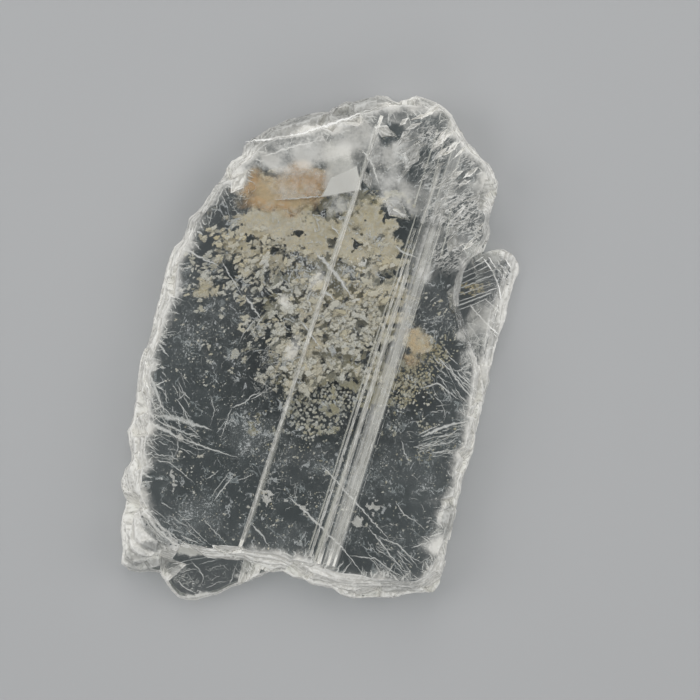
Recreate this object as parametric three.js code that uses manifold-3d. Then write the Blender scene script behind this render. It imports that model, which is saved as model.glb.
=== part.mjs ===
// A selenite slab: one plate of clear gypsum, split from a larger crystal along its perfect cleavage.
// It lies on its flat back face, +Z towards the front cleavage face and +Y along its length.
//
// The plate grew as one crystal of many thin sheets. The sheets at the back reach past the front ones
// as a clear tongue at the foot and as a striped ledge on the right. The broken rim slopes in from the
// outline to the front face, in steps where the sheets end. Sizes are in millimetres.
import * as THREE from "three";
import { mergeVertices } from "three/addons/utils/BufferGeometryUtils.js";
import Module from "manifold-3d";

// Thickness of the plate, and of the sheets behind that carry the tongue and the ledge.
const THICKNESS = 12.5;
const BACK_SHEETS = 5.2;
const RIM_BOTTOM = 3.4;

// How finely the broken edge is followed, and how far its points wander in and out or up and down.
const EDGE_STEP = 2.4;
const ROUGH_OUT = 0.3;
const ROUGH_UP = 0.16;
// How much of that a whole height of the front rim shares, and how much each of its points adds.
const ROUGH_SHARED = 0.6;
const ROUGH_OWN = 0.5;
// The same for the sheets behind.
const BEHIND_SHARED = 0.7;
const BEHIND_OWN = 0.3;

// The front sheets end one above the other at these heights, so the rim climbs in steps.
const SHOULDER = 5.6;
const SHEET_ENDS = [7, 8.4, 9.8, 11.2, THICKNESS];
const TREAD_RISE = 0.22;
const RISER_SHARE = 0.3;
// Their lowest ring is tucked in under the outline, and the steps of one stretch turn into the next
// one's over so many points.
const TUCK = 0.4;
const TURNING_POINTS = 4;
// How the width of the rim is shared out between those steps, lowest first.
const EVEN = [1, 1, 1, 1, 1];
const TERRACE = [0.3, 0.3, 3.4, 0.3, 0.5];
const STAIRS = [1.6, 0.5, 2.4, 0.5, 1];
// The shares come and go along the rim: the number of places where they change, all the way round.
const CHANGES = 44;
const LEAST_SHARE = 0.2;

// The front sheets, one stretch of broken edge after another, clockwise from the notch at the upper
// left. outer is the outline, inner the edge of the flat front face.
const TOP = {
  steps: TERRACE,
  outer: [[-18.1, 44], [-18.1, 45.6], [-16.5, 47.4], [-14, 48.7], [-10.9, 50.4], [-8.4, 51.7],
    [-5, 52.7], [-1.8, 53.6], [2.3, 54], [3.4, 55.1], [5.7, 56.1], [9.5, 56.3], [12.5, 57.4],
    [15.6, 57.2], [17.2, 56]],
  inner: [[-15.6, 42.7], [-13.1, 45.4], [-7.9, 47.4], [-3.9, 47.9], [2.9, 50.4], [9.1, 52.4],
    [14.7, 54.2], [17.2, 54.4]],
};
const LOBE = {
  steps: EVEN,
  outer: [[17.2, 56], [19.5, 56.7], [22, 57.5], [25.6, 56], [28.8, 54], [31, 50.6], [32.9, 47.6],
    [34, 45.6], [34.9, 45.4], [36.5, 43.1], [38.5, 41.5], [39.7, 39.3], [40.1, 35.2], [38.7, 31.8],
    [38.3, 28.6], [38.5, 26.8], [38.1, 25], [36.9, 21.6]],
  inner: [[17.2, 54.4], [22, 56], [26.3, 54.4], [29.2, 51.7], [31.3, 48.1], [33.5, 44.5], [35.8, 42.7],
    [37.4, 39.9], [37.8, 35.4], [37.2, 31.8], [36.9, 27.9], [36.3, 24.5], [34.4, 21.4]],
};
const RIGHT_STEP = {
  steps: EVEN,
  outer: [[36.9, 21.6], [34.4, 20.5], [32.4, 17.3], [31.5, 10.9], [33.1, 4.1], [35.8, -3.8],
    [37.2, -10.6], [36.3, -14.2]],
  inner: [[34.4, 21.4], [32.6, 20], [30.8, 16.6], [29.9, 10.9], [31.3, 4.1], [33.5, -3.1],
    [34.9, -9.5], [34.2, -13.5]],
};
const RIGHT = {
  steps: EVEN,
  outer: [[36.3, -14.2], [35.1, -19.9], [34.2, -24.2], [32.4, -28.7], [32, -31.4], [31, -36.2],
    [29.2, -43.5], [27.9, -49.8], [26.3, -54.3], [25.6, -55.5]],
  inner: [[34.2, -13.5], [33.1, -19.4], [32, -24.2], [30.6, -28.7], [29.9, -32.1], [28.8, -36.7],
    [27.2, -43.5], [25.4, -48.4], [23.6, -51.2], [21.5, -52.3]],
};
const BOTTOM = {
  steps: EVEN,
  outer: [[25.6, -55.5], [21.3, -55.7], [18.1, -56.4], [14.7, -56.7], [10.2, -57], [6.8, -56.8],
    [4.5, -56], [2.5, -54.6], [-1.1, -53.9], [-3.9, -52.5], [-6.8, -51.8], [-8.8, -50.9],
    [-10.9, -50.8]],
  inner: [[21.5, -52.3], [18.1, -52.5], [13.6, -52.1], [6.8, -50.7], [3.4, -50.2], [-2.3, -48],
    [-6.8, -47.3], [-10.9, -45.9]],
};
const HEEL = {
  steps: EVEN,
  outer: [[-10.9, -50.8], [-14.5, -50], [-18.1, -48.2], [-23.1, -47.8], [-29.9, -47.3], [-34, -48.4],
    [-38.5, -49.8], [-42.5, -50.6], [-45.3, -48.9]],
  inner: [[-10.9, -45.9], [-18.1, -45.3], [-22.7, -45], [-27.2, -44.6], [-30.8, -43.9], [-35.1, -40.7],
    [-38.5, -37.3]],
};
const FOOT = {
  steps: STAIRS,
  outer: [[-45.3, -48.9], [-45.3, -44.6], [-45.5, -40.1], [-44.6, -35.7], [-44.4, -34.4],
    [-45.3, -31.2], [-45.1, -29.2], [-44.2, -26.9], [-42.8, -25.3], [-43.5, -22.4], [-44, -19.9],
    [-43.1, -16.5]],
  inner: [[-38.5, -37.3], [-40.3, -34.8], [-40.3, -29.9], [-39.7, -25.3], [-39.4, -20.8],
    [-38.7, -16.5]],
};
const LEFT = {
  steps: EVEN,
  outer: [[-43.1, -16.5], [-42.1, -11.7], [-41.8, -6.7], [-41, -2.9], [-39.4, 1.9], [-37.4, 8.7],
    [-35.6, 16.1], [-33.8, 21.8], [-32.9, 23.4], [-31.5, 24.8], [-30.1, 29.1], [-29, 30.8],
    [-27.2, 31.8], [-26.3, 34], [-24.5, 36.1], [-22.2, 39.5], [-20.4, 42.3], [-18.1, 44]],
  inner: [[-38.7, -16.5], [-38.1, -11.7], [-38.5, -6.1], [-37.8, -2.2], [-36.3, 3], [-34.4, 9.8],
    [-32.4, 16.6], [-30.8, 22.3], [-29, 25], [-27.4, 28.8], [-25.8, 30.9], [-24.2, 33.6],
    [-22.2, 36.3], [-19.9, 39.5], [-15.6, 42.7]],
};

// Where the sheets behind reach further out than the front ones.
const LEDGE = {
  outer: [[36.9, 21.6], [38.5, 22.3], [42.6, 22.3], [45.3, 19.5], [45.5, 18.4], [43.7, 13.2],
    [41.7, 5.3], [40.1, 0.7], [38.3, -7.2], [37.4, -11.7], [36.3, -14.2]],
};
const TONGUE = {
  outer: [[-10.9, -50.8], [-14.5, -52.1], [-19.9, -54.3], [-24.9, -56.4], [-28.8, -57.5],
    [-31.7, -57.5], [-33.5, -56.5], [-35.6, -53.2], [-36.9, -51.4]],
};
const HEEL_BEHIND = {
  outer: [[-36.9, -51.4], [-39.2, -50.8], [-41.9, -51.2], [-44.2, -50.7], [-45.3, -48.9]],
};
// Its edge leans in a little above and below the middle: pairs of size against the outline and height.
const BACK_EDGE = [[0.981, 0], [0.994, 1.1], [1, RIM_BOTTOM], [0.986, BACK_SHEETS]];

// Cleavage lines across the front face, lower end to upper end, with half their width and their depth.
const CLEAVAGE_LINES = [
  { from: [-18.1, -44.6], to: [13.8, 52.4], half: 0.4, depth: 0.4 },
  { from: [-0.5, -48.4], to: [26.7, 40.8], half: 0.5, depth: 0.5 },
  { from: [-2.3, -46.8], to: [21.3, 27], half: 0.3, depth: 0.28 },
  { from: [1.6, -48.8], to: [26.6, 33], half: 0.6, depth: 0.75 },
  { from: [2.9, -49], to: [27.7, 31.5], half: 0.55, depth: 0.65 },
];
// The strip right of the second line, where a few sheets have come away.
const STRIP = { corners: [[0.4, -49.5], [4.1, -49.5], [28.8, 30.2], [24.6, 31.5]], depth: 0.35 };

// The outer side of the ledge slopes down and away from this line, by so much over so much width.
const LEDGE_SIDE = { from: [41.4, 24], to: [36.6, -4], width: 4.2, drop: 2.9 };

// Stripes on the ledge, where thin sheets end one above the other. Each starts a little to the left of
// the one above it, by shift.
const STRIPES = {
  count: 8, start: [35.6, 20.3], pitch: 1.2, shift: 0.45, lean: 16, length: 8.4, half: 0.42, depth: 0.42,
};

// Hackly ground at the upper right: short gouges, most of them leaning the same way. dip is how far
// their ends may tip down.
const GOUGES = {
  count: 60, lean: 32, spread: 14, dip: 5, length: [2.4, 7.5], half: [0.3, 0.75], depth: [0.3, 0.75],
};
const HACKLY_GROUND = [[17, 54], [25, 53.5], [32, 44], [37, 39], [36, 24], [30.5, 21.5], [28, 34],
  [17.5, 37]];

// Deeper hollows near it: middle, lean, and half the length, width and depth. All dip the same way.
const HOLLOW_DIP = 8;
const HOLLOWS = [
  { at: [20.4, 43.2], lean: 62, size: [4.4, 2, 1.5] },
  { at: [14.3, 48.9], lean: -24, size: [3.4, 1.5, 1.1] },
  { at: [16.8, 31.6], lean: -40, size: [4.6, 2.2, 1.2] },
  { at: [10.6, 38], lean: -75, size: [2.8, 1.1, 1] },
  { at: [-18.6, 37.2], lean: 55, size: [4.2, 1.7, 1.1] },
  { at: [29.5, 23.5], lean: 70, size: [3, 1.2, 1.4] },
];

// Flat chips broken from the rim, by how wide the broken face may be, how much it takes off, how far it
// turns off the way straight out, in radians, and how much it faces up.
const CHIPS = { count: 62, width: [3.5, 7.5], bite: [0.3, 0.75], turn: 0.5, rise: [-0.1, 0.9] };

// The same rough crystal every time.
function seeded(seed) {
  let state = seed;
  return () => {
    state = (state + 0x6d2b79f5) | 0;
    let mixed = Math.imul(state ^ (state >>> 15), 1 | state);
    mixed = (mixed + Math.imul(mixed ^ (mixed >>> 7), 61 | mixed)) ^ mixed;
    return ((mixed ^ (mixed >>> 14)) >>> 0) / 4294967296;
  };
}
const random = seeded(20);
const between = ([low, high]) => low + (high - low) * random();
const wander = (amount) => amount * (2 * random() - 1);

function curveThrough(points) {
  return new THREE.CatmullRomCurve3(points.map(([x, y]) => new THREE.Vector3(x, y, 0)), false, "centripetal");
}

// Evenly spaced points along a stretch, without its last one, which starts the next stretch.
function follow(points, count) {
  return curveThrough(points).getSpacedPoints(count).slice(0, -1);
}

function stepsAlong(points) {
  return Math.round(curveThrough(points).getLength() / EDGE_STEP);
}

// The closed skin through rings of equal count, lowest first, each anticlockwise seen from above.
function loft(rings) {
  const count = rings[0].length;
  const top = count * (rings.length - 1);
  const flat = (ring) => ring.map((point) => new THREE.Vector2(point.x, point.y));
  const index = [];
  for (let level = 0; level < rings.length - 1; level += 1) {
    for (let i = 0; i < count; i += 1) {
      const a = level * count + i;
      const b = level * count + ((i + 1) % count);
      index.push(a, b, b + count, a, b + count, a + count);
    }
  }
  for (const [a, b, c] of THREE.ShapeUtils.triangulateShape(flat(rings[0]), [])) {
    index.push(a, c, b);
  }
  for (const [a, b, c] of THREE.ShapeUtils.triangulateShape(flat(rings[rings.length - 1]), [])) {
    index.push(top + a, top + b, top + c);
  }
  const skin = new THREE.BufferGeometry().setFromPoints(rings.flat());
  skin.setIndex(index);
  return skin;
}

// A value between 0 and 1 that changes smoothly on the way round the rim and meets itself.
function changing() {
  const knots = Array.from({ length: CHANGES }, random);
  return (turn) => {
    const place = turn * CHANGES;
    const from = Math.floor(place) % CHANGES;
    const eased = THREE.MathUtils.smoothstep(place % 1, 0, 1);
    return THREE.MathUtils.lerp(knots[from], knots[(from + 1) % CHANGES], eased);
  };
}

// The rim in section, as pairs of share (0 at the outline, 1 at the front face) and height.
function rimSection(weights) {
  const whole = weights.reduce((sum, weight) => sum + weight, 0);
  const section = [[0, RIM_BOTTOM], [0, SHOULDER]];
  let reached = 0;
  weights.forEach((weight, sheet) => {
    const share = weight / whole;
    if (sheet === weights.length - 1) {
      section.push([1, THICKNESS]);
      return;
    }
    section.push([reached + RISER_SHARE * share, SHEET_ENDS[sheet]]);
    reached += share;
    section.push([reached, SHEET_ENDS[sheet] + TREAD_RISE]);
  });
  return section;
}

// Rings of the front sheets, from the outline up the stepped rim to the flat front face. The steps of
// one stretch turn into the next one's over a few points.
function frontRings(stretches) {
  const counts = stretches.map(({ outer }) => stepsAlong(outer));
  const around = counts.reduce((sum, count) => sum + count, 0);
  const change = SHEET_ENDS.map(changing);
  const rings = rimSection(EVEN).map(() => []);
  stretches.forEach((stretch, s) => {
    const before = stretches.at(s - 1).steps;
    const inner = follow(stretch.inner, counts[s]);
    follow(stretch.outer, counts[s]).forEach((point, i) => {
      const turn = rings[0].length / around;
      const own = Math.min(1, i / TURNING_POINTS);
      const weights = stretch.steps.map((share, sheet) => (
        THREE.MathUtils.lerp(before[sheet], share, own) * (LEAST_SHARE + change[sheet](turn))));
      const outward = point.clone().sub(inner[i]).normalize();
      const sway = wander(ROUGH_OUT);
      rimSection(weights).forEach(([share, height], level) => {
        const placed = point.clone().lerp(inner[i], share);
        const out = level === 0 ? -TUCK : ROUGH_SHARED * sway + wander(ROUGH_OWN * ROUGH_OUT);
        placed.addScaledVector(outward, out);
        placed.z = height + (level > 0 && height < THICKNESS ? wander(ROUGH_UP) : 0);
        rings[level].push(placed);
      });
    });
  });
  return rings.map((ring) => ring.reverse());
}

// Rings of the sheets behind: a flat back face, with an edge that is broken but nearly upright.
function backRings(stretches) {
  const outline = stretches.flatMap(({ outer }) => follow(outer, stepsAlong(outer)));
  const broken = outline.map((point) => (
    point.multiplyScalar(1 + wander(BEHIND_SHARED * ROUGH_OUT) / point.length())));
  return BACK_EDGE.map(([size, height]) => broken.map((point) => {
    const reach = size + wander(BEHIND_OWN * ROUGH_OUT) / point.length();
    return new THREE.Vector3(point.x * reach, point.y * reach, height);
  }).reverse());
}

// A straight bar of the given section, in pairs of across (to the left of the way from one end to the
// other) and up.
function bar({ from, to }, section, height) {
  const along = new THREE.Vector3(to[0] - from[0], to[1] - from[1], 0);
  const outline = new THREE.Shape(section.map(([across, up]) => new THREE.Vector2(across, up)));
  const made = new THREE.ExtrudeGeometry(outline, { depth: along.length(), bevelEnabled: false });
  along.normalize();
  const up = new THREE.Vector3(0, 0, 1);
  made.applyMatrix4(new THREE.Matrix4().makeBasis(up.clone().cross(along), up, along));
  made.translate(from[0], from[1], height);
  return made;
}

// A three-sided bar, which leaves a V-shaped groove.
function grooveBar(line, height) {
  const { half, depth } = line;
  return bar(line, [[-2 * half, depth], [0, -depth], [2 * half, depth]], height);
}

// A stretched octahedron set in the front face, which leaves a pit of four flat faces.
function pitPoint([x, y], size, lean, dip) {
  const point = new THREE.OctahedronGeometry(1);
  point.scale(...size);
  point.rotateY(THREE.MathUtils.degToRad(dip));
  point.rotateZ(THREE.MathUtils.degToRad(lean));
  point.translate(x, y, THICKNESS);
  return point;
}

// A block set against the rim with one face turned inwards, which breaks a flat chip off it.
function chipBlock(rimPoint) {
  const width = between(CHIPS.width);
  const outward = new THREE.Vector3(rimPoint.x, rimPoint.y, 0).normalize();
  outward.applyAxisAngle(new THREE.Vector3(0, 0, 1), wander(CHIPS.turn));
  outward.z = between(CHIPS.rise);
  outward.normalize();
  const block = new THREE.BoxGeometry(width, width, width);
  block.rotateZ(wander(Math.PI));
  block.applyQuaternion(new THREE.Quaternion().setFromUnitVectors(new THREE.Vector3(0, 0, 1), outward));
  const middle = rimPoint.clone().addScaledVector(outward, width / 2 - between(CHIPS.bite));
  block.translate(middle.x, middle.y, middle.z);
  return block;
}

// Whether a place is inside an outline, by counting the sides that a ray towards +X crosses.
function inside(outline, [x, y]) {
  let crossed = false;
  outline.forEach(([x1, y1], i) => {
    const [x2, y2] = outline.at(i - 1);
    if ((y1 > y) !== (y2 > y) && x < x1 + ((x2 - x1) * (y - y1)) / (y2 - y1)) {
      crossed = !crossed;
    }
  });
  return crossed;
}

const wasm = await Module();
wasm.setup();

function solid(geometry) {
  const bare = geometry.clone();
  bare.deleteAttribute("normal");
  bare.deleteAttribute("uv");
  const merged = mergeVertices(bare);
  return new wasm.Manifold(new wasm.Mesh({
    numProp: 3,
    vertProperties: new Float32Array(merged.attributes.position.array),
    triVerts: new Uint32Array(merged.index.array),
  }));
}

function skinOf(body) {
  const mesh = body.getMesh();
  const skin = new THREE.BufferGeometry();
  skin.setAttribute("position", new THREE.BufferAttribute(new Float32Array(mesh.vertProperties), 3));
  skin.setIndex(new THREE.BufferAttribute(new Uint32Array(mesh.triVerts), 1));
  return skin;
}

// Join the two groups of sheets.
const rim = frontRings([TOP, LOBE, RIGHT_STEP, RIGHT, BOTTOM, HEEL, FOOT, LEFT]);
const behind = backRings([TOP, LOBE, LEDGE, RIGHT, BOTTOM, TONGUE, HEEL_BEHIND, FOOT, LEFT]);
let crystal = solid(loft(rim)).add(solid(loft(behind)));

// Take the strip down, then cut the cleavage lines through it.
const strip = new THREE.ExtrudeGeometry(
  new THREE.Shape(STRIP.corners.map(([x, y]) => new THREE.Vector2(x, y))),
  { depth: 2 * STRIP.depth, bevelEnabled: false },
);
strip.translate(0, 0, THICKNESS - STRIP.depth);
crystal = crystal.subtract(solid(strip));
for (const line of CLEAVAGE_LINES) {
  crystal = crystal.subtract(solid(grooveBar(line, THICKNESS)));
}

// Slope the outer side of the ledge, and stripe its top.
const { width, drop } = LEDGE_SIDE;
crystal = crystal.subtract(solid(bar(LEDGE_SIDE, [[-width, drop], [2 * width, -2 * drop], [2 * width, drop]],
  BACK_SHEETS)));
const lean = THREE.MathUtils.degToRad(STRIPES.lean);
for (let i = 0; i < STRIPES.count; i += 1) {
  const x = STRIPES.start[0] + i * STRIPES.pitch * Math.sin(lean) - i * STRIPES.shift;
  const y = STRIPES.start[1] - i * STRIPES.pitch * Math.cos(lean);
  const to = [x + STRIPES.length * Math.cos(lean), y + STRIPES.length * Math.sin(lean)];
  crystal = crystal.subtract(solid(grooveBar({ from: [x, y], to, ...STRIPES }, BACK_SHEETS)));
}

// Sink the hollows, and gouge the hackly ground at places spread evenly over it.
for (const { at, lean: turned, size } of HOLLOWS) {
  crystal = crystal.subtract(solid(pitPoint(at, size, turned, HOLLOW_DIP)));
}
const span = (axis) => [
  Math.min(...HACKLY_GROUND.map((corner) => corner[axis])),
  Math.max(...HACKLY_GROUND.map((corner) => corner[axis])),
];
let gouges = 0;
while (gouges < GOUGES.count) {
  const place = [between(span(0)), between(span(1))];
  if (inside(HACKLY_GROUND, place)) {
    const size = [between(GOUGES.length) / 2, between(GOUGES.half), between(GOUGES.depth)];
    const turned = GOUGES.lean + wander(GOUGES.spread);
    crystal = crystal.subtract(solid(pitPoint(place, size, turned, wander(GOUGES.dip))));
    gouges += 1;
  }
}

// Chip the rim.
const rimPoints = rim.slice(1).flat();
for (let i = 0; i < CHIPS.count; i += 1) {
  crystal = crystal.subtract(solid(chipBlock(rimPoints[Math.floor(random() * rimPoints.length)])));
}

const skin = skinOf(crystal);
skin.computeBoundingBox();
const middle = skin.boundingBox.getCenter(new THREE.Vector3());
skin.translate(-middle.x, -middle.y, -skin.boundingBox.min.z);
skin.computeVertexNormals();

const selenite = new THREE.MeshStandardMaterial({
  color: 0xd9dbd6, roughness: 0.25, metalness: 0, transparent: true, opacity: 0.6, flatShading: true,
});
const slab = new THREE.Mesh(skin, selenite);
slab.name = "slab";

const part = new THREE.Group();
part.add(slab);
export default part;
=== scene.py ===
import math

import bmesh
import bpy
import numpy as np
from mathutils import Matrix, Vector, kdtree, noise
from mathutils.bvhtree import BVHTree


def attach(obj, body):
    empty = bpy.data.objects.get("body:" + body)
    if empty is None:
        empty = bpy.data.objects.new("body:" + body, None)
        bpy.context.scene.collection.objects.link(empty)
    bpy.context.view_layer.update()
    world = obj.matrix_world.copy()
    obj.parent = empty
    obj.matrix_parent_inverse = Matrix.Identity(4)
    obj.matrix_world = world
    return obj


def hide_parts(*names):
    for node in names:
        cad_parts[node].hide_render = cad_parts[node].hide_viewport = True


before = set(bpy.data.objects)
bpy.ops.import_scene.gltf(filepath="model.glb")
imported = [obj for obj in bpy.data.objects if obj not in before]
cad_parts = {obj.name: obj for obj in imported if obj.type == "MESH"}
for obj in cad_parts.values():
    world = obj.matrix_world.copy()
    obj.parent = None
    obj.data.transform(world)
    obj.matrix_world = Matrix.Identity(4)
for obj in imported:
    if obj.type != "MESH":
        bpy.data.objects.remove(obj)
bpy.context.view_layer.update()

# ---- The table and the light ----
# The slab lies on its back on a plain pale table. Large soft boxes stand low around it, so that
# broken edges catch light and the flat faces mirror none of it.
MM = 0.001
TABLE_GREY, TABLE_PALER = (0.395, 0.40, 0.405, 1), (0.43, 0.43, 0.43, 1)
SOFT_BOXES = (  # name, compass angle, height angle, metres away, size, watts
    ("softbox_left", 172, 40, 0.95, 0.60, 3.2),
    ("softbox_right", 12, 38, 0.95, 0.60, 3.6),
    ("softbox_back", 95, 42, 1.05, 0.70, 4.4),
    ("softbox_front", 268, 34, 1.05, 0.50, 2.2),
)
WORLD_GREY = (0.80, 0.84, 0.88, 1)
WORLD_STRENGTH = 0.28
scene = bpy.context.scene


class Wire:
    """One output of a shader node, which can be used in sums. The sign | takes the larger of two."""

    def __init__(self, finish, socket):
        self.finish = finish
        self.socket = socket

    def reckon(self, operation, first, second=0.0):
        return self.finish.node("Math", {0: first, 1: second}, {"operation": operation})

    def __add__(self, other):
        return self.reckon("ADD", self, other)

    def __sub__(self, other):
        return self.reckon("SUBTRACT", self, other)

    def __rsub__(self, other):
        return self.reckon("SUBTRACT", other, self)

    def __mul__(self, other):
        return self.reckon("MULTIPLY", self, other)

    def __or__(self, other):
        return self.reckon("MAXIMUM", self, other)

    def __abs__(self):
        return self.reckon("ABSOLUTE", self)

    __radd__ = __add__
    __rmul__ = __mul__


class Finish:
    """A material, put together node by node."""

    def __init__(self, name):
        self.material = bpy.data.materials.new(name)
        self.material.use_nodes = True
        self.tree = self.material.node_tree
        self.tree.nodes.clear()

    def node(self, kind, sockets=None, settings=None, out=0):
        made = self.tree.nodes.new("ShaderNode" + kind)
        for name, value in (settings or {}).items():
            setattr(made, name, value)
        for name, value in (sockets or {}).items():
            if isinstance(value, Wire):
                self.tree.links.new(value.socket, made.inputs[name])
            else:
                made.inputs[name].default_value = value
        return Wire(self, made.outputs[out]) if made.outputs else made

    def between(self, value, low, high):
        """0 where value is under low, 1 over high, and a smooth rise between them."""
        return self.node("MapRange", {"Value": value, "From Min": low, "From Max": high},
                         {"interpolation_type": "SMOOTHSTEP"})

    def blend(self, share, first, second):
        """A colour, from first where share is 0 to second where it is 1."""
        return self.node("Mix", {0: share, 6: first, 7: second}, {"data_type": "RGBA"}, out=2)

    def places(self):
        """The place on the piece, in metres, as one vector."""
        return self.node("TexCoord", out=3)

    def mark(self, name):
        """The values that keep() wrote into the mesh under this name."""
        return self.node("Attribute", None, {"attribute_name": name}, out=2)

    def stretched(self, place, lean, scale):
        """Places turned by lean degrees, then scaled along, across and up."""
        turned = self.node("Mapping", {"Vector": place, "Rotation": (0, 0, math.radians(lean))},
                           {"vector_type": "TEXTURE"})
        return self.node("Mapping", {"Vector": turned, "Scale": scale}, {"vector_type": "POINT"})

    def cloud(self, place, scale, detail=4.0, roughness=0.5):
        return self.node("TexNoise", {"Vector": place, "Scale": scale, "Detail": detail,
                                      "Roughness": roughness})

    def surface(self, sockets):
        """Closes the material with one plain surface."""
        shell = self.node("BsdfPrincipled", sockets)
        self.node("OutputMaterial", {"Surface": shell})


bpy.ops.mesh.primitive_plane_add(size=1.8, location=(0, 0, 0))
table = bpy.context.object
table.name = "table"
paint = Finish("table_paint")
mottle = paint.cloud(paint.places(), 3.0)
paint.surface({
    "Base Color": paint.blend(mottle, TABLE_GREY, TABLE_PALER), "Roughness": 0.8,
    "Specular IOR Level": 0.2})
table.data.materials.append(paint.material)

for name, compass, rise, away, size, watts in SOFT_BOXES:
    box = bpy.data.lights.new(name, "AREA")
    box.shape = "SQUARE"
    box.size = size
    box.energy = watts
    lamp = bpy.data.objects.new(name, box)
    turn, up = math.radians(compass), math.radians(rise)
    lamp.location = (away * math.cos(up) * math.cos(turn), away * math.cos(up) * math.sin(turn),
                     away * math.sin(up))
    lamp.rotation_euler = (-lamp.location).to_track_quat("-Z", "Y").to_euler()
    lamp.visible_camera = False
    scene.collection.objects.link(lamp)

world = bpy.data.worlds.new("room")
scene.world = world
world.use_nodes = True
sky = world.node_tree.nodes["Background"]
sky.inputs["Color"].default_value = WORLD_GREY
sky.inputs["Strength"].default_value = WORLD_STRENGTH
scene.view_settings.view_transform = "Standard"
scene.cycles.transparent_max_bounces = 48
scene.cycles.transmission_bounces = 16
scene.cycles.max_bounces = 20
scene.cycles.caustics_refractive = False
scene.cycles.caustics_reflective = False

# The camera looks straight down on the face of the slab, from 0.6 metres above it.
VIEW_WIDTH = 158.6 * MM
VIEW_PLANE = 8 * MM
VIEW_EAST, VIEW_NORTH = 6.8 * MM, -0.4 * MM
lens = bpy.data.cameras.new("camera")
lens.lens = 135
lens.sensor_width = 36
lens.clip_start = 0.01
camera = bpy.data.objects.new("camera", lens)
camera.location = (VIEW_EAST, VIEW_NORTH, VIEW_PLANE + VIEW_WIDTH * lens.lens / lens.sensor_width)
scene.collection.objects.link(camera)
scene.camera = camera

# ---- The crystal ----
# One clear plate of selenite. Its face and back are cleavage faces, as flat as glass. The edges are
# broken through hundreds of thin sheets and scatter the light white.
LEAN = 72.8          # degrees, the way the cleavage lines run over the face
ALONG = Vector((math.cos(math.radians(LEAN)), math.sin(math.radians(LEAN)), 0))
ACROSS = Vector((ALONG.y, -ALONG.x, 0))
FACE = 12.5          # height of the flat face
LOW_FACES = 6.0      # the ledge and the tongue stay below this
SLICE_ACROSS, SLICE_ALONG = 0.8, 1.6
LONGEST_EDGE = 0.9   # on the broken edges
CHIPPED = 0.3        # how far the broken edges are roughened
TABLE_GAP = 0.05     # how far they stay off the table
CLEAN_SPLIT = 0.985  # least upward part of the normal of a face that split cleanly
SAG = 0.9            # how far the flat face dips under its full height
FOOT = 2.2           # what lies lower than this makes the slab's outline on the table


def keep(mesh, name, values, where="POINT"):
    """Keeps a value for every corner or every face of a mesh, for its material to read."""
    mesh.attributes.new(name, "FLOAT", where).data.foreach_set("value", np.asarray(values, np.float32))


crystal_mesh = bpy.data.meshes.new("crystal")
work = bmesh.new()
work.from_mesh(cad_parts["slab"].data)
bmesh.ops.remove_doubles(work, verts=work.verts, dist=1e-6)
for way, step in ((ACROSS, SLICE_ACROSS * MM), (ALONG, SLICE_ALONG * MM)):
    reach = [vertex.co.dot(way) for vertex in work.verts]
    for cut in np.arange(min(reach) + step / 2, max(reach), step):
        bmesh.ops.bisect_plane(work, geom=work.verts[:] + work.edges[:] + work.faces[:], dist=1e-7,
                               plane_co=way * cut, plane_no=way)
bmesh.ops.triangulate(work, faces=work.faces)


def flat(face):
    """True for the parts of the face, the back, the ledge and the tongue that split cleanly."""
    height = face.calc_center_median().z / MM
    upright = abs(face.normal.z)
    return (upright > CLEAN_SPLIT and (height > FACE - SAG or height < LOW_FACES)
            or face.normal.z < -0.9)


for turn in range(2):
    work.normal_update()
    long_ones = [edge for edge in work.edges if edge.calc_length() > LONGEST_EDGE * MM
                 and not any(flat(face) for face in edge.link_faces)]
    bmesh.ops.subdivide_edges(work, edges=long_ones, cuts=1)
    bmesh.ops.triangulate(work, faces=[face for face in work.faces if len(face.verts) > 3])
work.normal_update()
moves = {}
for vertex in work.verts:
    if any(flat(face) for face in vertex.link_faces):
        continue
    place = vertex.co / MM
    layer = noise.fractal(Vector((place.x * 0.25, place.y * 0.25, place.z * 2.2)), 1, 2, 3)
    lump = noise.fractal(place * 0.6, 0.8, 2, 3)
    moves[vertex] = vertex.normal * (0.6 * layer + 0.5 * lump) * CHIPPED * MM
for vertex, move in moves.items():
    vertex.co += move
    vertex.co.z = max(vertex.co.z, TABLE_GAP * MM)
work.normal_update()
for face in work.faces:
    face.smooth = not flat(face)
work.to_mesh(crystal_mesh)


def oval_depth(x, y, oval):
    """How far inside an oval a place is: 1 at its centre, 0 on its edge, less than 0 outside."""
    centre_x, centre_y, half_long, half_wide, lean = oval
    turn = math.radians(lean)
    along = (x - centre_x) * math.cos(turn) + (y - centre_y) * math.sin(turn)
    across = (y - centre_y) * math.cos(turn) - (x - centre_x) * math.sin(turn)
    return 1 - np.hypot(along / half_long, across / half_wide)


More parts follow.
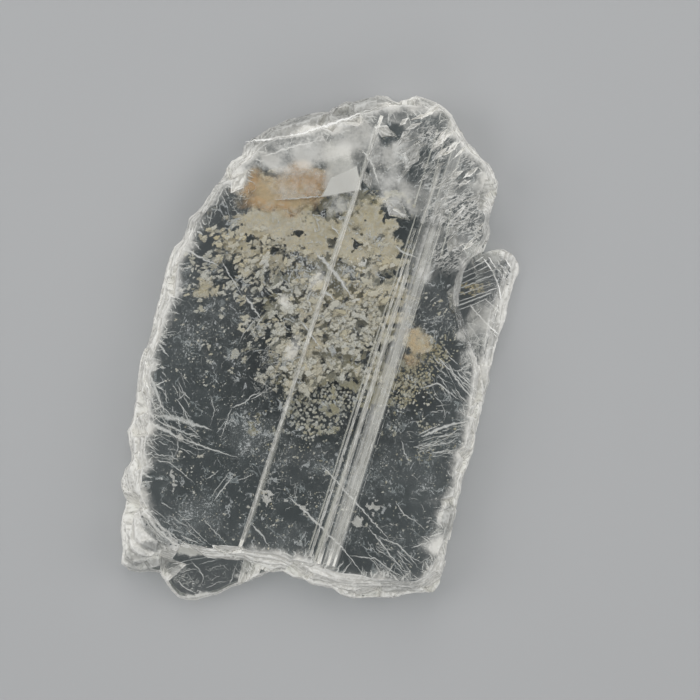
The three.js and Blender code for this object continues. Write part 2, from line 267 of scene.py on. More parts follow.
outline = [vertex.co for face in work.faces if not flat(face) for vertex in face.verts
           if vertex.co.z < FOOT * MM]
fence = kdtree.KDTree(len(outline))
for number, place in enumerate(outline):
    fence.insert((place.x, place.y, 0), number)
fence.balance()
GLASSY_EDGE = (  # oval, how much less frost
    ((-11.3, 49.5, 10.4, 4.5, 25), 0.5), ((4.5, 54, 13.6, 3.2, 12), 0.5),
    ((-26.1, 33.6, 5, 9.1, -30), 0.3), ((-36.9, -41.4, 5.4, 1.8, -43), 0.62),
    ((-38.1, -44.6, 2.9, 1.4, -10), 0.6), ((-34.4, -45.9, 3.9, 0.9, -10), 0.15),
    ((-33.1, -50.5, 2.5, 1.8, -30), 0.6), ((-38.1, -49.3, 7.7, 1.8, 5), 0.5),
    ((-25.4, -52.1, 8.6, 3.6, 12), 0.5), ((28.8, -38.9, 5, 1.8, 80), 0.5),
    ((35.8, 24.5, 2.3, 1.8, 0), 0.4), ((43.3, 18.2, 4.1, 1.8, 80), 0.3), ((32.6, -5.4, 4.5, 2, 72), 0.5),
    ((23.1, 55.3, 3.6, 1.4, 0), 0.3), ((18.1, -53.6, 7.7, 2, 0), 0.35), ((37.6, 20, 5.9, 2.3, 0), 0.5),
    ((38.5, 27.9, 3.2, 9.1, 90), 0.4), ((34.7, 32, 6.8, 2.7, 75), 0.45), ((26.3, -33, 7.3, 2.3, 80), 0.6),
    ((-36, -7.6, 6.8, 2, 75), 0.4), ((-41.5, -47.1, 3.2, 2.7, 0), 0.3),
    ((-17.4, -49.3, 2.7, 2.3, 0), 0.4), ((39, 1.9, 5.9, 1.4, 75), 0.35),
)


def glassy(x, y):
    """How much of the frost is left on the glassier stretches of the broken edge."""
    left = 1.0
    for oval, share in GLASSY_EDGE:
        left = left * (1 - share * np.clip(oval_depth(x, y, oval) * 3, 0, 1))
    return left


TONGUE_STEP = (-23.1, -45.9, 14, 3.4, 4)      # the broken step above the tongue
STEP_LANDING = (-29.9, -45.9, 4.5, 1.6, -4)   # its flat part
LEDGE_FROM = 28       # the ledge lies to the right of this
rim = np.zeros(len(work.faces))
for number, face in enumerate(work.faces):
    if flat(face):
        continue
    centre = face.calc_center_median()
    x, y, z = (part / MM for part in centre)
    inwards = fence.find((centre.x, centre.y, 0))[2] / MM
    on_ledge = x > LEDGE_FROM
    white = np.interp(inwards, (5, 8), (1, 0.45))   # the frost thins out away from the outline
    shoulder = x > 20 and y < 28 and inwards > 3.2 or on_ledge and 4.5 < z < 6 and inwards > 2.6
    ledge_top = on_ledge and z < 6.2 and face.normal.z > 0.45 and inwards > 1.4
    if shoulder:
        white = 0.5 if on_ledge and y > 9.5 else 0.14
    if ledge_top:
        white = 0.06
    if z > LOW_FACES:
        white = max(white, min(oval_depth(x, y, TONGUE_STEP) * 5, 1))
    rim[number] = white * glassy(x, y)
keep(crystal_mesh, "rim", rim, "FACE")

# Painted shade: ridges of the broken edge are painted whiter, and its inner corners darker and glassier.
bend_shade = np.zeros(len(work.verts))
for number, vertex in enumerate(work.verts):
    bends = [edge.calc_face_angle_signed(0) for edge in vertex.link_edges if len(edge.link_faces) == 2]
    bend_shade[number] = max(-1.0, min(1.0, sum(bends) / len(bends) * 2.2))
keep(crystal_mesh, "bend_shade", bend_shade)


def drift(x, y, size, seed, octaves=4, stretch=1.0, lean=0.0):
    """Cloudy values round 0, mostly from -1 to 1. size is a lump in mm, drawn out along the lean."""
    turn = math.radians(lean)
    along = (x * math.cos(turn) + y * math.sin(turn)) / (size * stretch)
    across = (y * math.cos(turn) - x * math.sin(turn)) / size
    lattice = np.random.default_rng(seed).random((64, 64))
    total = 0
    for octave in range(octaves):
        u, v = along * 2**octave + 31.7 * octave + 700, across * 2**octave + 11.3 * octave + 700
        column, row = np.floor(u).astype(int), np.floor(v).astype(int)
        right, up = (u - column)**2 * (3 - 2 * (u - column)), (v - row)**2 * (3 - 2 * (v - row))
        low = lattice[column % 64, row % 64] * (1 - right) + lattice[(column + 1) % 64, row % 64] * right
        high = (lattice[column % 64, (row + 1) % 64] * (1 - right)
                + lattice[(column + 1) % 64, (row + 1) % 64] * right)
        total = total + (low * (1 - up) + high * up - 0.5) * 0.5**octave
    return total * 2.2


def inside(x, y, ovals):
    """How far inside the nearest of some ovals each place is: 1 at a centre, 0 on an edge."""
    return np.max([oval_depth(x, y, oval) for oval in ovals], axis=0)


def covered(x, y, ovals, steep, most=1):
    """How much some ovals cover each place: 0 outside them, and steeply up to most inside."""
    return np.clip(inside(x, y, ovals) * steep, 0, most)


# Milky haze in the top sheets, thickest towards the upper end and beside the cleavage lines.
MILKY = (
    (2.3, 47.2, 24.9, 5.9, 10), (-4.5, 44.9, 15.9, 5, 5), (-6.3, 42.2, 8.6, 3.9, 8),
    (18.1, 42.7, 11.3, 13.6, 60), (30.6, 44.9, 10.2, 6.3, -60), (32.9, 30.2, 12.5, 7.3, 72),
    (20.4, 35.9, 9.1, 10.2, 72), (24.9, 22.3, 13.6, 4.1, 72), (37.4, 14.3, 5, 9.1, 72),
    (36, -0.4, 5.9, 2.3, 72), (33.5, 3, 4.1, 2.7, 0), (29.2, 20, 3.2, 5, 72), (-0.5, 15.2, 3.4, 2.3, 60),
    (-6.1, 0.1, 4.1, 2, 70), (-7.7, 10, 3.2, 1.8, -60), (-29.5, -45.5, 4.5, 1.8, 4),
)
MILKY_THROUGH = ((4.1, 43.6, 5.9, 3.9, 0), (-2.7, 44, 4.5, 2.7, 10), (-11.3, 41.8, 3.2, 1.8, 20))
CLEAR = (
    (-18.1, 35.9, 6.8, 2.7, 80), (9.5, 53.8, 2.5, 1.1, 15), (16.1, 48.3, 3.4, 2.5, 20),
    (22.7, 41.8, 5.7, 2.9, 65), (10.2, 38.1, 2.7, 1.1, 100), (17.2, 28.6, 4.1, 2.9, 60),
    (26.3, -12.6, 5.9, 4.5, 0), (4.1, 34, 6.3, 4.5, 20),
)
UNDERSIDE = 3.6       # the milk and the hackly breaks stay above this
east, north, height = np.array([vertex.co for vertex in crystal_mesh.vertices]).T / MM
cleared = covered(east, north, CLEAR, 3)
milk = covered(east, north, MILKY, 2.2) * (1 - cleared) + 0.35 * covered(east, north, MILKY_THROUGH, 2.5)
LEDGE_MILKY = (
    (42.4, 10.9, 14, 3.2, 75), (37.4, 0.7, 11.3, 6.3, 72), (38.5, 21.4, 5.9, 1.4, 5),
    (-26.1, -56.4, 6.8, 0.9, 5), (-29.5, -45.9, 4.5, 1.6, -8),
)
LEDGE_CLOUDY = (
    (36.7, 5.9, 6.3, 4.5, 72), (35.6, 0.5, 5.9, 3.4, 72), (39.4, 19.5, 2.7, 1.8, 40),
    (-18.1, -51.6, 1.8, 1.1, 20), (-33.5, -51.2, 1.8, 0.9, 30),
)
low = np.maximum(covered(east, north, LEDGE_MILKY, 4, 1.25), covered(east, north, LEDGE_CLOUDY, 3, 0.95))
milk = np.where(height < 8, low, milk) * (height >= UNDERSIDE)
HACKLY = (
    (33.3, 30.2, 6.8, 13.6, 80), (28.3, 44.9, 9.1, 10.2, 50), (23.8, 39.3, 5, 8.2, 60),
    (28.8, 20.5, 4.1, 6.8, 72), (36.3, -2.2, 7.3, 5.4, 72),
)
hackly = covered(east, north, HACKLY, 2.5) * (1 - 0.7 * cleared) * (height >= UNDERSIDE)
keep(crystal_mesh, "hackly", hackly)
keep(crystal_mesh, "milk", milk)

# How far each place is from the broken edge, as seen from above: the sheets fray inwards from it.
rim_places = np.array([(x, y) for x, y, z in zip(east, north, height) if FACE - 2.6 < z < FACE - 1
                       and fence.find((x * MM, y * MM, 0))[2] < 4.5 * MM])
tree = kdtree.KDTree(len(rim_places))
for number, place in enumerate(rim_places):
    tree.insert((place[0], place[1], 0), number)
tree.balance()
away = np.array([tree.find((x, y, 0))[2] for x, y in zip(east, north)])
fray = np.exp(-away / 1.9)
inwards = np.array([fence.find((x * MM, y * MM, 0))[2] for x, y in zip(east, north)]) / MM
ledge_fray = 0.8 * np.exp(-np.maximum(inwards - 2.0, 0) / 1.2)
fray = np.where((height < 8) & (east > LEDGE_FROM), ledge_fray, fray)
fray = np.maximum(fray * glassy(east, north), covered(east, north, (STEP_LANDING,), 4)) * (height >= 4)
keep(crystal_mesh, "fray", fray)
work.free()

skin = BVHTree.FromPolygons([vertex.co for vertex in crystal_mesh.vertices],
                            [tuple(face.vertices) for face in crystal_mesh.polygons])
ROOM_STEP = 0.7
room_x, room_y = np.arange(-50, 50, ROOM_STEP), np.arange(-62, 62, ROOM_STEP)
room = np.full((len(room_x), len(room_y)), -2.0)
for i, x in enumerate(room_x):
    for j, y in enumerate(room_y):
        hit = skin.ray_cast(Vector((x, y, 30)) * MM, Vector((0, 0, -1)))[0]
        if hit and hit.z > (FACE - 1.1) * MM:
            room[i, j] = tree.find((x, y, 0))[2]


def under_face(x, y):
    """How far in mm each place lies inside the edge of the flat face, and less than 0 outside it."""
    u, v = (x - room_x[0]) / ROOM_STEP, (y - room_y[0]) / ROOM_STEP
    i, j = np.floor(u).astype(int), np.floor(v).astype(int)
    u, v = u - i, v - j
    return ((room[i, j] * (1 - u) + room[i + 1, j] * u) * (1 - v)
            + (room[i, j + 1] * (1 - u) + room[i + 1, j + 1] * u) * v)


crystal = bpy.data.objects.new("crystal", crystal_mesh)
scene.collection.objects.link(crystal)

# Clear where it split cleanly, and white and rough where its marks or the band of fine lines say so.
SHADE_UNDER = (0.85, 0.86, 0.86, 1)   # what a lamp keeps at each face it passes through
SMOKE = (0.47, 0.53, 0.54, 1)         # what the thickness of the plate takes from the light
SMOKINESS = 66.0
GYPSUM_IOR = 1.52
# The darker of the two whites is also painted shade in the creases of the broken edge.
BRUISED_AND_SHADED, SNOWY = (0.66, 0.64, 0.59, 1), (0.80, 0.785, 0.74, 1)
BAND_FROM, BAND_TO, BAND_SOFT = 14.5, 18.5, 0.8   # the band of fine lines, in mm across the lines
gypsum = Finish("selenite")
place = gypsum.places()
far_east, far_north = (gypsum.node("SeparateXYZ", {"Vector": place}, out=axis) for axis in (0, 1))
far_across = far_east * (ACROSS.x / MM) + far_north * (ACROSS.y / MM)


def streaks(finish, place, lean, along, across, up, detail=3.0):
    return finish.cloud(finish.stretched(place, lean, (along, across, up)), 1.0, detail)


on_rim, in_milk, frayed, on_bend_shade, on_hackly = (
    gypsum.mark(name) for name in ("rim", "milk", "fray", "bend_shade", "hackly"))
fine = gypsum.cloud(place, 1600, 5, 0.6)
coarse = gypsum.cloud(place, 260, 4, 0.6)
sheets = streaks(gypsum, place, LEAN, 60, 2600, 900)


def scribble(finish, place, lean, along, across, thin):
    """1 on thin curling lines and 0 between them."""
    curl = finish.node("TexNoise", {
        "Vector": finish.stretched(place, lean, (along, across, 900)), "Scale": 1.0, "Detail": 2.5,
        "Roughness": 0.55, "Distortion": 0.5})
    return 1 - finish.between(abs(curl - 0.5), thin * 0.3, thin)


wisps = gypsum.between(streaks(gypsum, place, 32, 420, 2300, 900, 4.0), 0.54, 0.66)
hackles = (scribble(gypsum, place, 28, 330, 1000, 0.045)
           | scribble(gypsum, place, 50, 520, 900, 0.04) * 0.8 | wisps * 0.35)
splits = gypsum.between(streaks(gypsum, place, LEAN, 260, 2300, 900, 4.0), 0.52, 0.62)
leaves = streaks(gypsum, place, 0, 170, 170, 2400, 4.0)
leafy = gypsum.between(leaves * 0.8 + fine * 0.2, 0.36, 0.56)
# Painted shade: creases of the broken edge keep less frost, so they look darker; its ridges keep more and
# look whiter.
rim_frost = on_rim * (0.73 + on_bend_shade * 0.32 + 0.35 * leafy)
fray_frost = gypsum.between(frayed + (fine - 0.5) * 0.5 + (coarse - 0.5) * 1.0, 0.20, 1.0) * 0.85
milk_frost = gypsum.between(in_milk * 0.8 + (coarse - 0.5) * 1.3 + (fine - 0.5) * 0.5, 0.25, 1.1) * 0.62
patchy = 0.16 + 0.5 * gypsum.between(gypsum.cloud(place, 130, 3), 0.40, 0.60)
milk_frost = milk_frost * (1 - on_hackly * 0.88) | in_milk * splits * 0.2 | on_hackly * hackles * patchy
band = (gypsum.between(far_across, BAND_FROM, BAND_FROM + BAND_SOFT)
        * (1 - gypsum.between(far_across, BAND_TO - BAND_SOFT, BAND_TO)))
band_frost = band * (0.24 + 0.10 * gypsum.between(sheets, 0.35, 0.65))
frost = rim_frost | fray_frost | milk_frost | band_frost

ripple = gypsum.node("Bump", {"Strength": 0.35, "Distance": 0.0001, "Height": fine + coarse})
clear = gypsum.node("BsdfPrincipled", {
    "Base Color": (1, 1, 1, 1), "Transmission Weight": 1.0, "IOR": GYPSUM_IOR, "Roughness": 0.03})
# The broken edge's own tone varies at random, and is painted darker in its creases as shade and whiter on
# its ridges.
broken = gypsum.node("BsdfPrincipled", {
    "Base Color": gypsum.blend(gypsum.between(leaves * 0.7 + on_bend_shade * 0.6 + 0.1, 0.3, 0.6),
                               BRUISED_AND_SHADED, SNOWY),
    "Roughness": 0.45, "IOR": GYPSUM_IOR, "Normal": ripple})
body = gypsum.node("MixShader", {0: frost, 1: clear, 2: broken})
through = gypsum.node("BsdfTransparent", {"Color": SHADE_UNDER})
is_lamp = gypsum.node("LightPath", out=1)
seen = gypsum.node("MixShader", {0: is_lamp, 1: body, 2: through})
depth = gypsum.node("VolumeAbsorption", {"Color": SMOKE, "Density": SMOKINESS})
gypsum.node("OutputMaterial", {"Surface": seen, "Volume": depth})
crystal_mesh.materials.append(gypsum.material)
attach(crystal, "root")
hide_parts("slab")


# ---- Clay ----
# A tan film of fine clay that filled a crack between two sheets while the crystal grew. It is whole
# in the middle and breaks up into flakes towards its edge. It lies under the top sheets.
CLAY_LEVEL = 9.9     # height over the table
CLAY_BOX = (-34, 28, -12, 41)
CLAY_STEP = 0.23     # between the corners of its mesh
CLAY_TAN, CLAY_DARK, CLAY_PALE = (0.94, 0.82, 0.59, 1), (0.86, 0.74, 0.48, 1), (0.95, 0.89, 0.76, 1)
CLAY_WHOLE = (
    (-10.9, 27.7, 14, 6.3, 0), (-18.6, 23.8, 4.5, 2.7, 0), (11.8, 28.6, 7.7, 6.8, 0),
    (-0.5, 25, 9.1, 5.9, 0), (7.3, 23.4, 6.8, 5.9, 0), (14.7, 22.3, 5, 3.2, 0), (-8.2, 35, 9.5, 5.4, 0),
    (-1.4, 37.7, 5.9, 4.1, 0), (22, 1.6, 3.4, 3.9, 70),
)
CLAY_FLAKES = (
    (-13.1, 19.5, 14, 5.4, -8), (10.2, 14.3, 10.4, 9.5, 20), (2.3, 8.7, 10, 7.7, 10),
    (-26.5, 13.2, 4.5, 2, -8), (17, 10.9, 4.1, 9.1, 0), (-2.7, -0.4, 6.8, 9.1, 10),
)
CLAY_GAPS = (
    (-19.9, 27, 1.8, 0.7, 8), (-15.6, 24.5, 2, 1.1, 10), (-12, 23.8, 1.1, 1.4, 50),
    (-4.8, 26.1, 1.8, 0.9, 0), (2.3, 23.8, 2, 2.3, 60), (8.2, 23.2, 1.6, 1.6, 40),
    (5, 18.9, 2.7, 1.4, 10), (-6.1, 18.9, 2.7, 2.3, 60), (-5.9, 14.8, 2.9, 4.1, 70),
    (11.8, 12.5, 2.7, 1.6, 60), (15.9, 30.6, 2.7, 1.8, 30), (3.4, 32.5, 3.6, 3.6, 0),
)


def embed(name, places, faces):
    """One piece inside the crystal, from the corners of its closed mesh, in mm, and their faces."""
    mesh = bpy.data.meshes.new(name)
    mesh.from_pydata((np.asarray(places) * MM).tolist(), [], faces)
    piece = bpy.data.objects.new(name, mesh)
    scene.collection.objects.link(piece)
    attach(piece, "root")
    return piece


def film(name, value, box, step, level, thick=0.12):
    """A thin film between two sheets, as a closed mesh, wherever value(x, y) is more than 0. The box
    is its limits to the west, east, south and north."""
    x, y = np.meshgrid(np.arange(box[0], box[1], step), np.arange(box[2], box[3], step), indexing="ij")
    deep = np.minimum(value(x, y), (under_face(x, y) - 0.7) * 0.5)
    deep[[0, -1], :] = deep[:, [0, -1]] = -1
    held = deep > 0
    near = held[:-1, :-1] | held[1:, :-1] | held[:-1, 1:] | held[1:, 1:]
    numbers, places, depths, rings = {}, [], [], []

    def corner(key, at_x, at_y, depth):
        if key not in numbers:
            numbers[key] = len(places)
            places.append((at_x, at_y))
            depths.append(depth)
        return numbers[key]

    for i, j in zip(*np.nonzero(near)):
        square = ((i, j), (i + 1, j), (i + 1, j + 1), (i, j + 1))
        ring = []
        for a, b in zip(square, square[1:] + square[:1]):
            if held[a]:
                ring.append(corner(a, x[a], y[a], deep[a]))
            if held[a] != held[b]:
                part = deep[a] / (deep[a] - deep[b])
                ring.append(corner(min((a, b), (b, a)), x[a] + part * (x[b] - x[a]),
                                   y[a] + part * (y[b] - y[a]), 0.0))
        rings.append(ring)
    count = len(places)
    flat_places = np.array(places)
    heights = level + 0.25 * drift(flat_places[:, 0], flat_places[:, 1], 9, 77, 2)
    upper = np.column_stack((flat_places, heights + thick / 2))
    lower = np.column_stack((flat_places, heights - thick / 2))
    steps = {(ring[k - 1], ring[k]) for ring in rings for k in range(len(ring))}
    walls = [(b, a, a + count, b + count) for a, b in steps if (b, a) not in steps]
    backs = [[count + number for number in reversed(ring)] for ring in rings]
    piece = embed(name, np.vstack((upper, lower)), rings + backs + walls)
    keep(piece.data, "depth", depths + depths)
    return piece


def clay_value(x, y):
    whole = np.clip(inside(x, y, CLAY_WHOLE), -1, 1) * 2.2
    flakes = np.clip(inside(x, y, CLAY_FLAKES) * 1.2, -1, 0.5) - 0.25
    gaps = inside(x, y, CLAY_GAPS) * 1.8
    grain = 0.65 * drift(x, y, 1.3, 5, 4, 1.4, 15) + 0.35 * drift(x, y, 5, 6, 2)
    pits = np.maximum(drift(x, y, 0.8, 7, 2) - 0.75, 0) * 3
    gaps = np.clip(gaps + 0.9 * drift(x, y, 0.9, 10, 3), 0, 1) * (gaps > -0.5)
    return np.maximum(whole - 0.05, flakes) + grain * 0.85 - gaps * 1.6 - pits - 0.12


clay = film("clay_film", clay_value, CLAY_BOX, CLAY_STEP, CLAY_LEVEL)
earth = Finish("clay")
place = earth.places()
grain = earth.cloud(place, 900, 5, 0.65)
patch = earth.cloud(place, 120, 3, 0.5)
tint = earth.blend(earth.between(patch, 0.35, 0.65), CLAY_TAN, CLAY_DARK)
tint = earth.blend(earth.between(grain, 0.35, 0.7), tint, CLAY_PALE)
rise = earth.node("Bump", {"Strength": 0.6, "Distance": 0.0002, "Height": grain})
thin = earth.between(earth.cloud(place, 330, 4, 0.6), 0.38, 0.62)
solid = earth.between(earth.mark("depth") + (grain - 0.5) * 1.9, 0.0, 0.75) * (0.63 + 0.34 * thin)
earth.surface({"Base Color": tint, "Roughness": 0.8, "Alpha": solid, "Normal": rise})
clay.data.materials.append(earth.material)

# ---- Iron stain ----
# Rust-orange water stain in the clay's upper edge, and one small dotted patch of it beside the band
# of fine lines. It is a thin soft-edged wash.
RUST = (
    (-1.8, 36.8, 5, 2.9, 0), (-12.2, 35.9, 7.7, 5, -12), (-4.5, 38.1, 9.5, 5, 5),
    (-10, 33.4, 9.1, 4.1, 0), (0, 37.7, 5.4, 3.2, 0),
)
RUST_PATCH = ((21.8, 1.6, 3.4, 4.1, 70), (20.4, -2.7, 1.8, 2.7, 70))


def rust_value(x, y):
    wash = np.clip(inside(x, y, RUST), -0.6, 1) * 1.5
    patch = np.clip(inside(x, y, RUST_PATCH), -0.6, 0.5) * 0.9
    dots = 0.25 * drift(x, y, 1.0, 9, 3) * (patch > -0.4)
    return np.maximum(wash + 0.45 * drift(x, y, 3, 8, 3), patch + dots)


RUST_LEVEL = 10.3
rust = film("iron_stain", rust_value, (-24, 30, -10, 46), 0.3, RUST_LEVEL)
ORANGE, OCHRE, WASHED_OUT = (0.88, 0.57, 0.29, 1), (0.90, 0.70, 0.43, 1), (0.90, 0.78, 0.60, 1)
iron = Finish("iron_stain")
place = iron.places()
grain = iron.cloud(place, 700, 5, 0.6)
patch = iron.cloud(place, 150, 3, 0.5)
tint = iron.blend(iron.between(patch, 0.40, 0.60), ORANGE, OCHRE)
tint = iron.blend(iron.between(grain, 0.45, 0.75), tint, WASHED_OUT)
streaky = iron.between(iron.cloud(iron.stretched(place, 20, (160, 420, 400)), 1.0, 4), 0.36, 0.62)
solid = iron.between(iron.mark("depth") * (0.5 + grain), 0.0, 1.3) * (0.45 + 0.45 * streaky)
iron.surface({"Base Color": tint, "Roughness": 0.8, "Alpha": solid})
rust.data.materials.append(iron.material)

# ---- White flakes ----
# Air got in between the sheets and left thousands of small flakes, tan in the clay and cream-white
# below it. They thin out to the lower left, and under the clay they lie like round spots.
FLAKE_CORNERS = 11
FLAKE_THICK = 0.06    # from a flake's rim up to the top of its middle
FLAKE_BEDS = (  # piece, ovals, flakes to a square mm, half a flake, stretch, lean, tan share, level
    ("clay_flakes",
     ((-13.1, 20.9, 15, 4.5, -8), (10.2, 19.5, 10, 5.9, 20), (-19.3, 24.5, 9.1, 4.1, 0),
      (4.5, 13.2, 13.6, 5.9, 0)),
     1.1, 0.47, 1.8, 26, 0.50, 10.3),
    ("white_flakes",
     ((-1.8, 7.3, 9.5, 9.5, -30), (5, 4.1, 11.8, 12.2, 60), (11.8, 4.1, 5, 13.6, 0),
      (-5, -4.5, 8.6, 6.8, 0), (-10.9, -5.4, 5, 3.6, 60)),
     4.2, 0.45, 1.35, 30, 0.18, 9.7),
    ("torn_flakes",
     ((-15.9, 14.1, 14, 5.4, -24), (-24.9, 17.7, 9.1, 3.2, -14), (-11.3, 5, 8.6, 5.9, -40)),
     0.85, 0.44, 2.1, 28, 0.10, 9.6),
    ("stray_flakes",
     ((-21.5, 7.8, 15.9, 10, -15), (-13.6, 0.7, 13.6, 9.1, 0), (24.9, 7.5, 5.9, 9.5, 72)),
     0.42, 0.30, 1.6, 25, 0.30, 9.4),
    ("small_flakes",
     ((-19.3, -7.2, 20.4, 15.9, 30), (18.1, -16.3, 7.7, 18.1, 72), (-4.5, -27.6, 15.9, 18.1, 72),
      (-13.6, -38.9, 20.4, 8.2, 0), (18.1, -38.9, 11.3, 11.3, 0)),
     0.16, 0.17, 1.5, 25, 0.10, 9.2),
    ("gap_flakes",
     ((-25.4, 0.7, 6.8, 3.2, 20), (-32.9, -6.1, 3.2, 5, 0), (-29, -27.6, 5, 6.8, 40),
      (-7.3, -34.4, 5.9, 2.3, -20), (10, -37.1, 5.9, 3.2, -20), (-13.1, -35.5, 5, 5.9, 60),
      (20.4, -11.7, 6.8, 3.6, 20)),
     0.55, 0.22, 1.4, 30, 0.05, 10.0),
)


def bed(name, x, y, half, stretch, lean, tan, level, chance, ragged=1.0):
    """A bed of small lens-shaped flakes that lie flat, one at each x and y, as one piece."""
    count = len(x)
    round_it = np.linspace(0, math.tau, FLAKE_CORNERS, endpoint=False)
    waves = sum(size * np.sin(turns * round_it + chance.uniform(0, math.tau, (count, 1)))
                for turns, size in ((2, 0.22), (3, 0.18), (5, 0.12)))
    reach = half[:, None] * (1 + waves * ragged)
    turn = np.radians(lean) + chance.normal(0, 0.5, (count, 1))
    along, across = reach * np.cos(round_it) * stretch, reach * np.sin(round_it)
    height = level + chance.uniform(-0.6, 0.6, (count, 1))
    rims = np.stack((x[:, None] + along * np.cos(turn) - across * np.sin(turn),
                     y[:, None] + along * np.sin(turn) + across * np.cos(turn), height + 0 * along), -1)
    tops = np.stack((x, y, height[:, 0] + FLAKE_THICK), -1)[:, None]
    backs = np.stack((x, y, height[:, 0] - FLAKE_THICK), -1)[:, None]
    ring = np.arange(FLAKE_CORNERS)
    after = (ring + 1) % FLAKE_CORNERS
    fans = np.concatenate((np.stack((ring, after, 0 * ring + FLAKE_CORNERS), -1),
                           np.stack((after, ring, 0 * ring + FLAKE_CORNERS + 1), -1)))
    faces = (np.arange(count)[:, None, None] * (FLAKE_CORNERS + 2) + fans).reshape(-1, 3)
    warm = np.clip(tan + chance.normal(0, 0.25, count), 0, 1)
    piece = embed(name, np.concatenate((rims, tops, backs), 1).reshape(-1, 3), faces.tolist())
    piece.data.materials.append(air.material)
    keep(piece.data, "depth", np.tile((0,) * FLAKE_CORNERS + (1, 1), count))
    keep(piece.data, "warm", np.repeat(warm, FLAKE_CORNERS + 2))


def scattered(ovals, crowd, chance, seed, clump):
    """Places scattered over some ovals, crowd to a square mm, thinner towards their edges."""
    middle_x, middle_y, long, wide, _ = np.array(ovals).T
    reach = np.maximum(long, wide)
    low_x, high_x = min(middle_x - reach), max(middle_x + reach)
    low_y, high_y = min(middle_y - reach), max(middle_y + reach)
    tries = int(crowd * (high_x - low_x) * (high_y - low_y))
    x, y = chance.uniform(low_x, high_x, tries), chance.uniform(low_y, high_y, tries)
    clumps = np.clip(0.5 + clump * drift(x, y, 1.8, seed, 2), 0, 1)
    share = covered(x, y, ovals, 2.2) * clumps
    kept = (share > chance.random(tries)) & (under_face(x, y) > 0.9)
    return x[kept], y[kept]


FLAKE_WHITE, FLAKE_TAN, FLAKE_GREY = (0.96, 0.92, 0.82, 1), (0.84, 0.72, 0.46, 1), (0.66, 0.64, 0.57, 1)
air = Finish("white_flakes")
place = air.places()
grain = air.cloud(place, 1300, 5, 0.65)
tint = air.blend(air.mark("warm"), FLAKE_WHITE, FLAKE_TAN)
tint = air.blend(air.between(air.cloud(place, 300, 2), 0.4, 0.65) * 0.25, tint, FLAKE_GREY)
solid = air.between(air.mark("depth") + (grain - 0.5) * 2.6, 0.08, 0.40)
air.surface({"Base Color": tint, "Roughness": 0.6, "Alpha": solid})
chance = np.random.default_rng(61)
for name, ovals, crowd, half, stretch, lean, tan, level in FLAKE_BEDS:
    x, y = scattered(ovals, crowd, chance, 62, 1.7)
    size = half * np.exp(chance.normal(0, 0.38, len(x)))
    bed(name, x, y, size, stretch, lean, tan, level, chance)

# Round spots, evenly spaced, where the film of clay has shrunk into drops.
SPOTS = (
    (-0.9, -12.9, 9.1, 9.1, 72), (6.8, -9.5, 5.4, 5.9, 72), (-6.3, -8.3, 5.9, 4.1, 0),
    (2.3, -4.9, 9.1, 4.5, 0),
)
SPOTS_TAN = ((21.3, -5.8, 6.8, 5.4, 40), (24.5, -0.4, 3.2, 6.8, 60), (19, -9.9, 3.2, 4.5, 0))
SPOT_LEVEL = 7.6
ROWS = 0.87           # rows of spots lie closer than the spots in a row, as in a honeycomb
for name, ovals, pitch, half, tan in (("leopard_spots", SPOTS, 0.92, 0.40, 0.15),
                                      ("tan_spots", SPOTS_TAN, 0.68, 0.36, 0.70)):
    x, y = np.meshgrid(np.arange(-12, 32, pitch), np.arange(-26, 8, pitch * ROWS), indexing="ij")
    x = (x + (np.arange(x.shape[1]) % 2) * pitch / 2 + chance.normal(0, pitch * 0.20, x.shape)).ravel()
    y = y.ravel() + chance.normal(0, pitch * 0.20, y.size)
    share = covered(x, y, ovals, 2.6) + 0.25 * drift(x, y, 2.5, 63, 2)
    kept = (share > chance.random(x.size) * 0.9) & (under_face(x, y) > 0.9)
    x, y, share = x[kept], y[kept], share[kept]
    size = half * np.clip(0.45 + 0.55 * share, 0.4, 1.1) * np.exp(chance.normal(0, 0.24, len(x)))
    bed(name, x, y, size, 1.12, 40, tan, SPOT_LEVEL, chance, 0.6)

# Specks: dust-fine bubbles all through the clear part.
SPECKS = (
    (-18.1, -4.9, 24.9, 20.4, 30), (-4.5, -29.9, 18.1, 20.4, 60), (-15.9, -41.2, 24.9, 9.1, 0),
    (18.1, -23.1, 10, 24.9, 72), (18.1, -43.5, 13.6, 10, 0), (-27.2, -27.6, 13.6, 15.9, 0),
    (27.2, 6.4, 8.2, 13.6, 72), (11.3, 44.9, 13.6, 6.8, 0), (-20.4, 31.3, 9.1, 6.8, 60),
)
HALF_SPECK = 0.075
for name, crowd, level, seed in (("specks_upper", 1.3, 10.4, 71), ("specks_lower", 0.9, 6.5, 72)):
    x, y = scattered(SPECKS, crowd, chance, seed, 1.3)
    size = HALF_SPECK * np.exp(chance.normal(0, 0.45, len(x)))
    bed(name, x, y, size, 1.3, 30, 0.05, level, chance)

# The thin whitish film that the flakes lie on has countless holes.
CREAM = (
    (0, 9.6, 10.4, 10.9, 60), (5.7, 4.1, 8.2, 15.9, 0), (12.5, 6.4, 5.9, 13.6, 0),
    (-2.7, -0.8, 7.3, 10.4, -20), (6.8, 20, 11.3, 6.8, 0), (4.5, 30.2, 13.6, 9.1, 0),
    (13.1, -5.4, 4.1, 7.7, 0),
)
CREAM_LEVEL = 8.0
CREAM_WHITE, CREAM_TAN = (0.86, 0.82, 0.70, 1), (0.72, 0.64, 0.42, 1)


def cream_value(x, y):
    share = np.clip(inside(x, y, CREAM) * 2.2, -1, 1)
    holes = 0.75 * drift(x, y, 1.0, 51, 3) + 0.5 * drift(x, y, 3.2, 52, 2)
    return share * 0.6 - 0.12 + holes


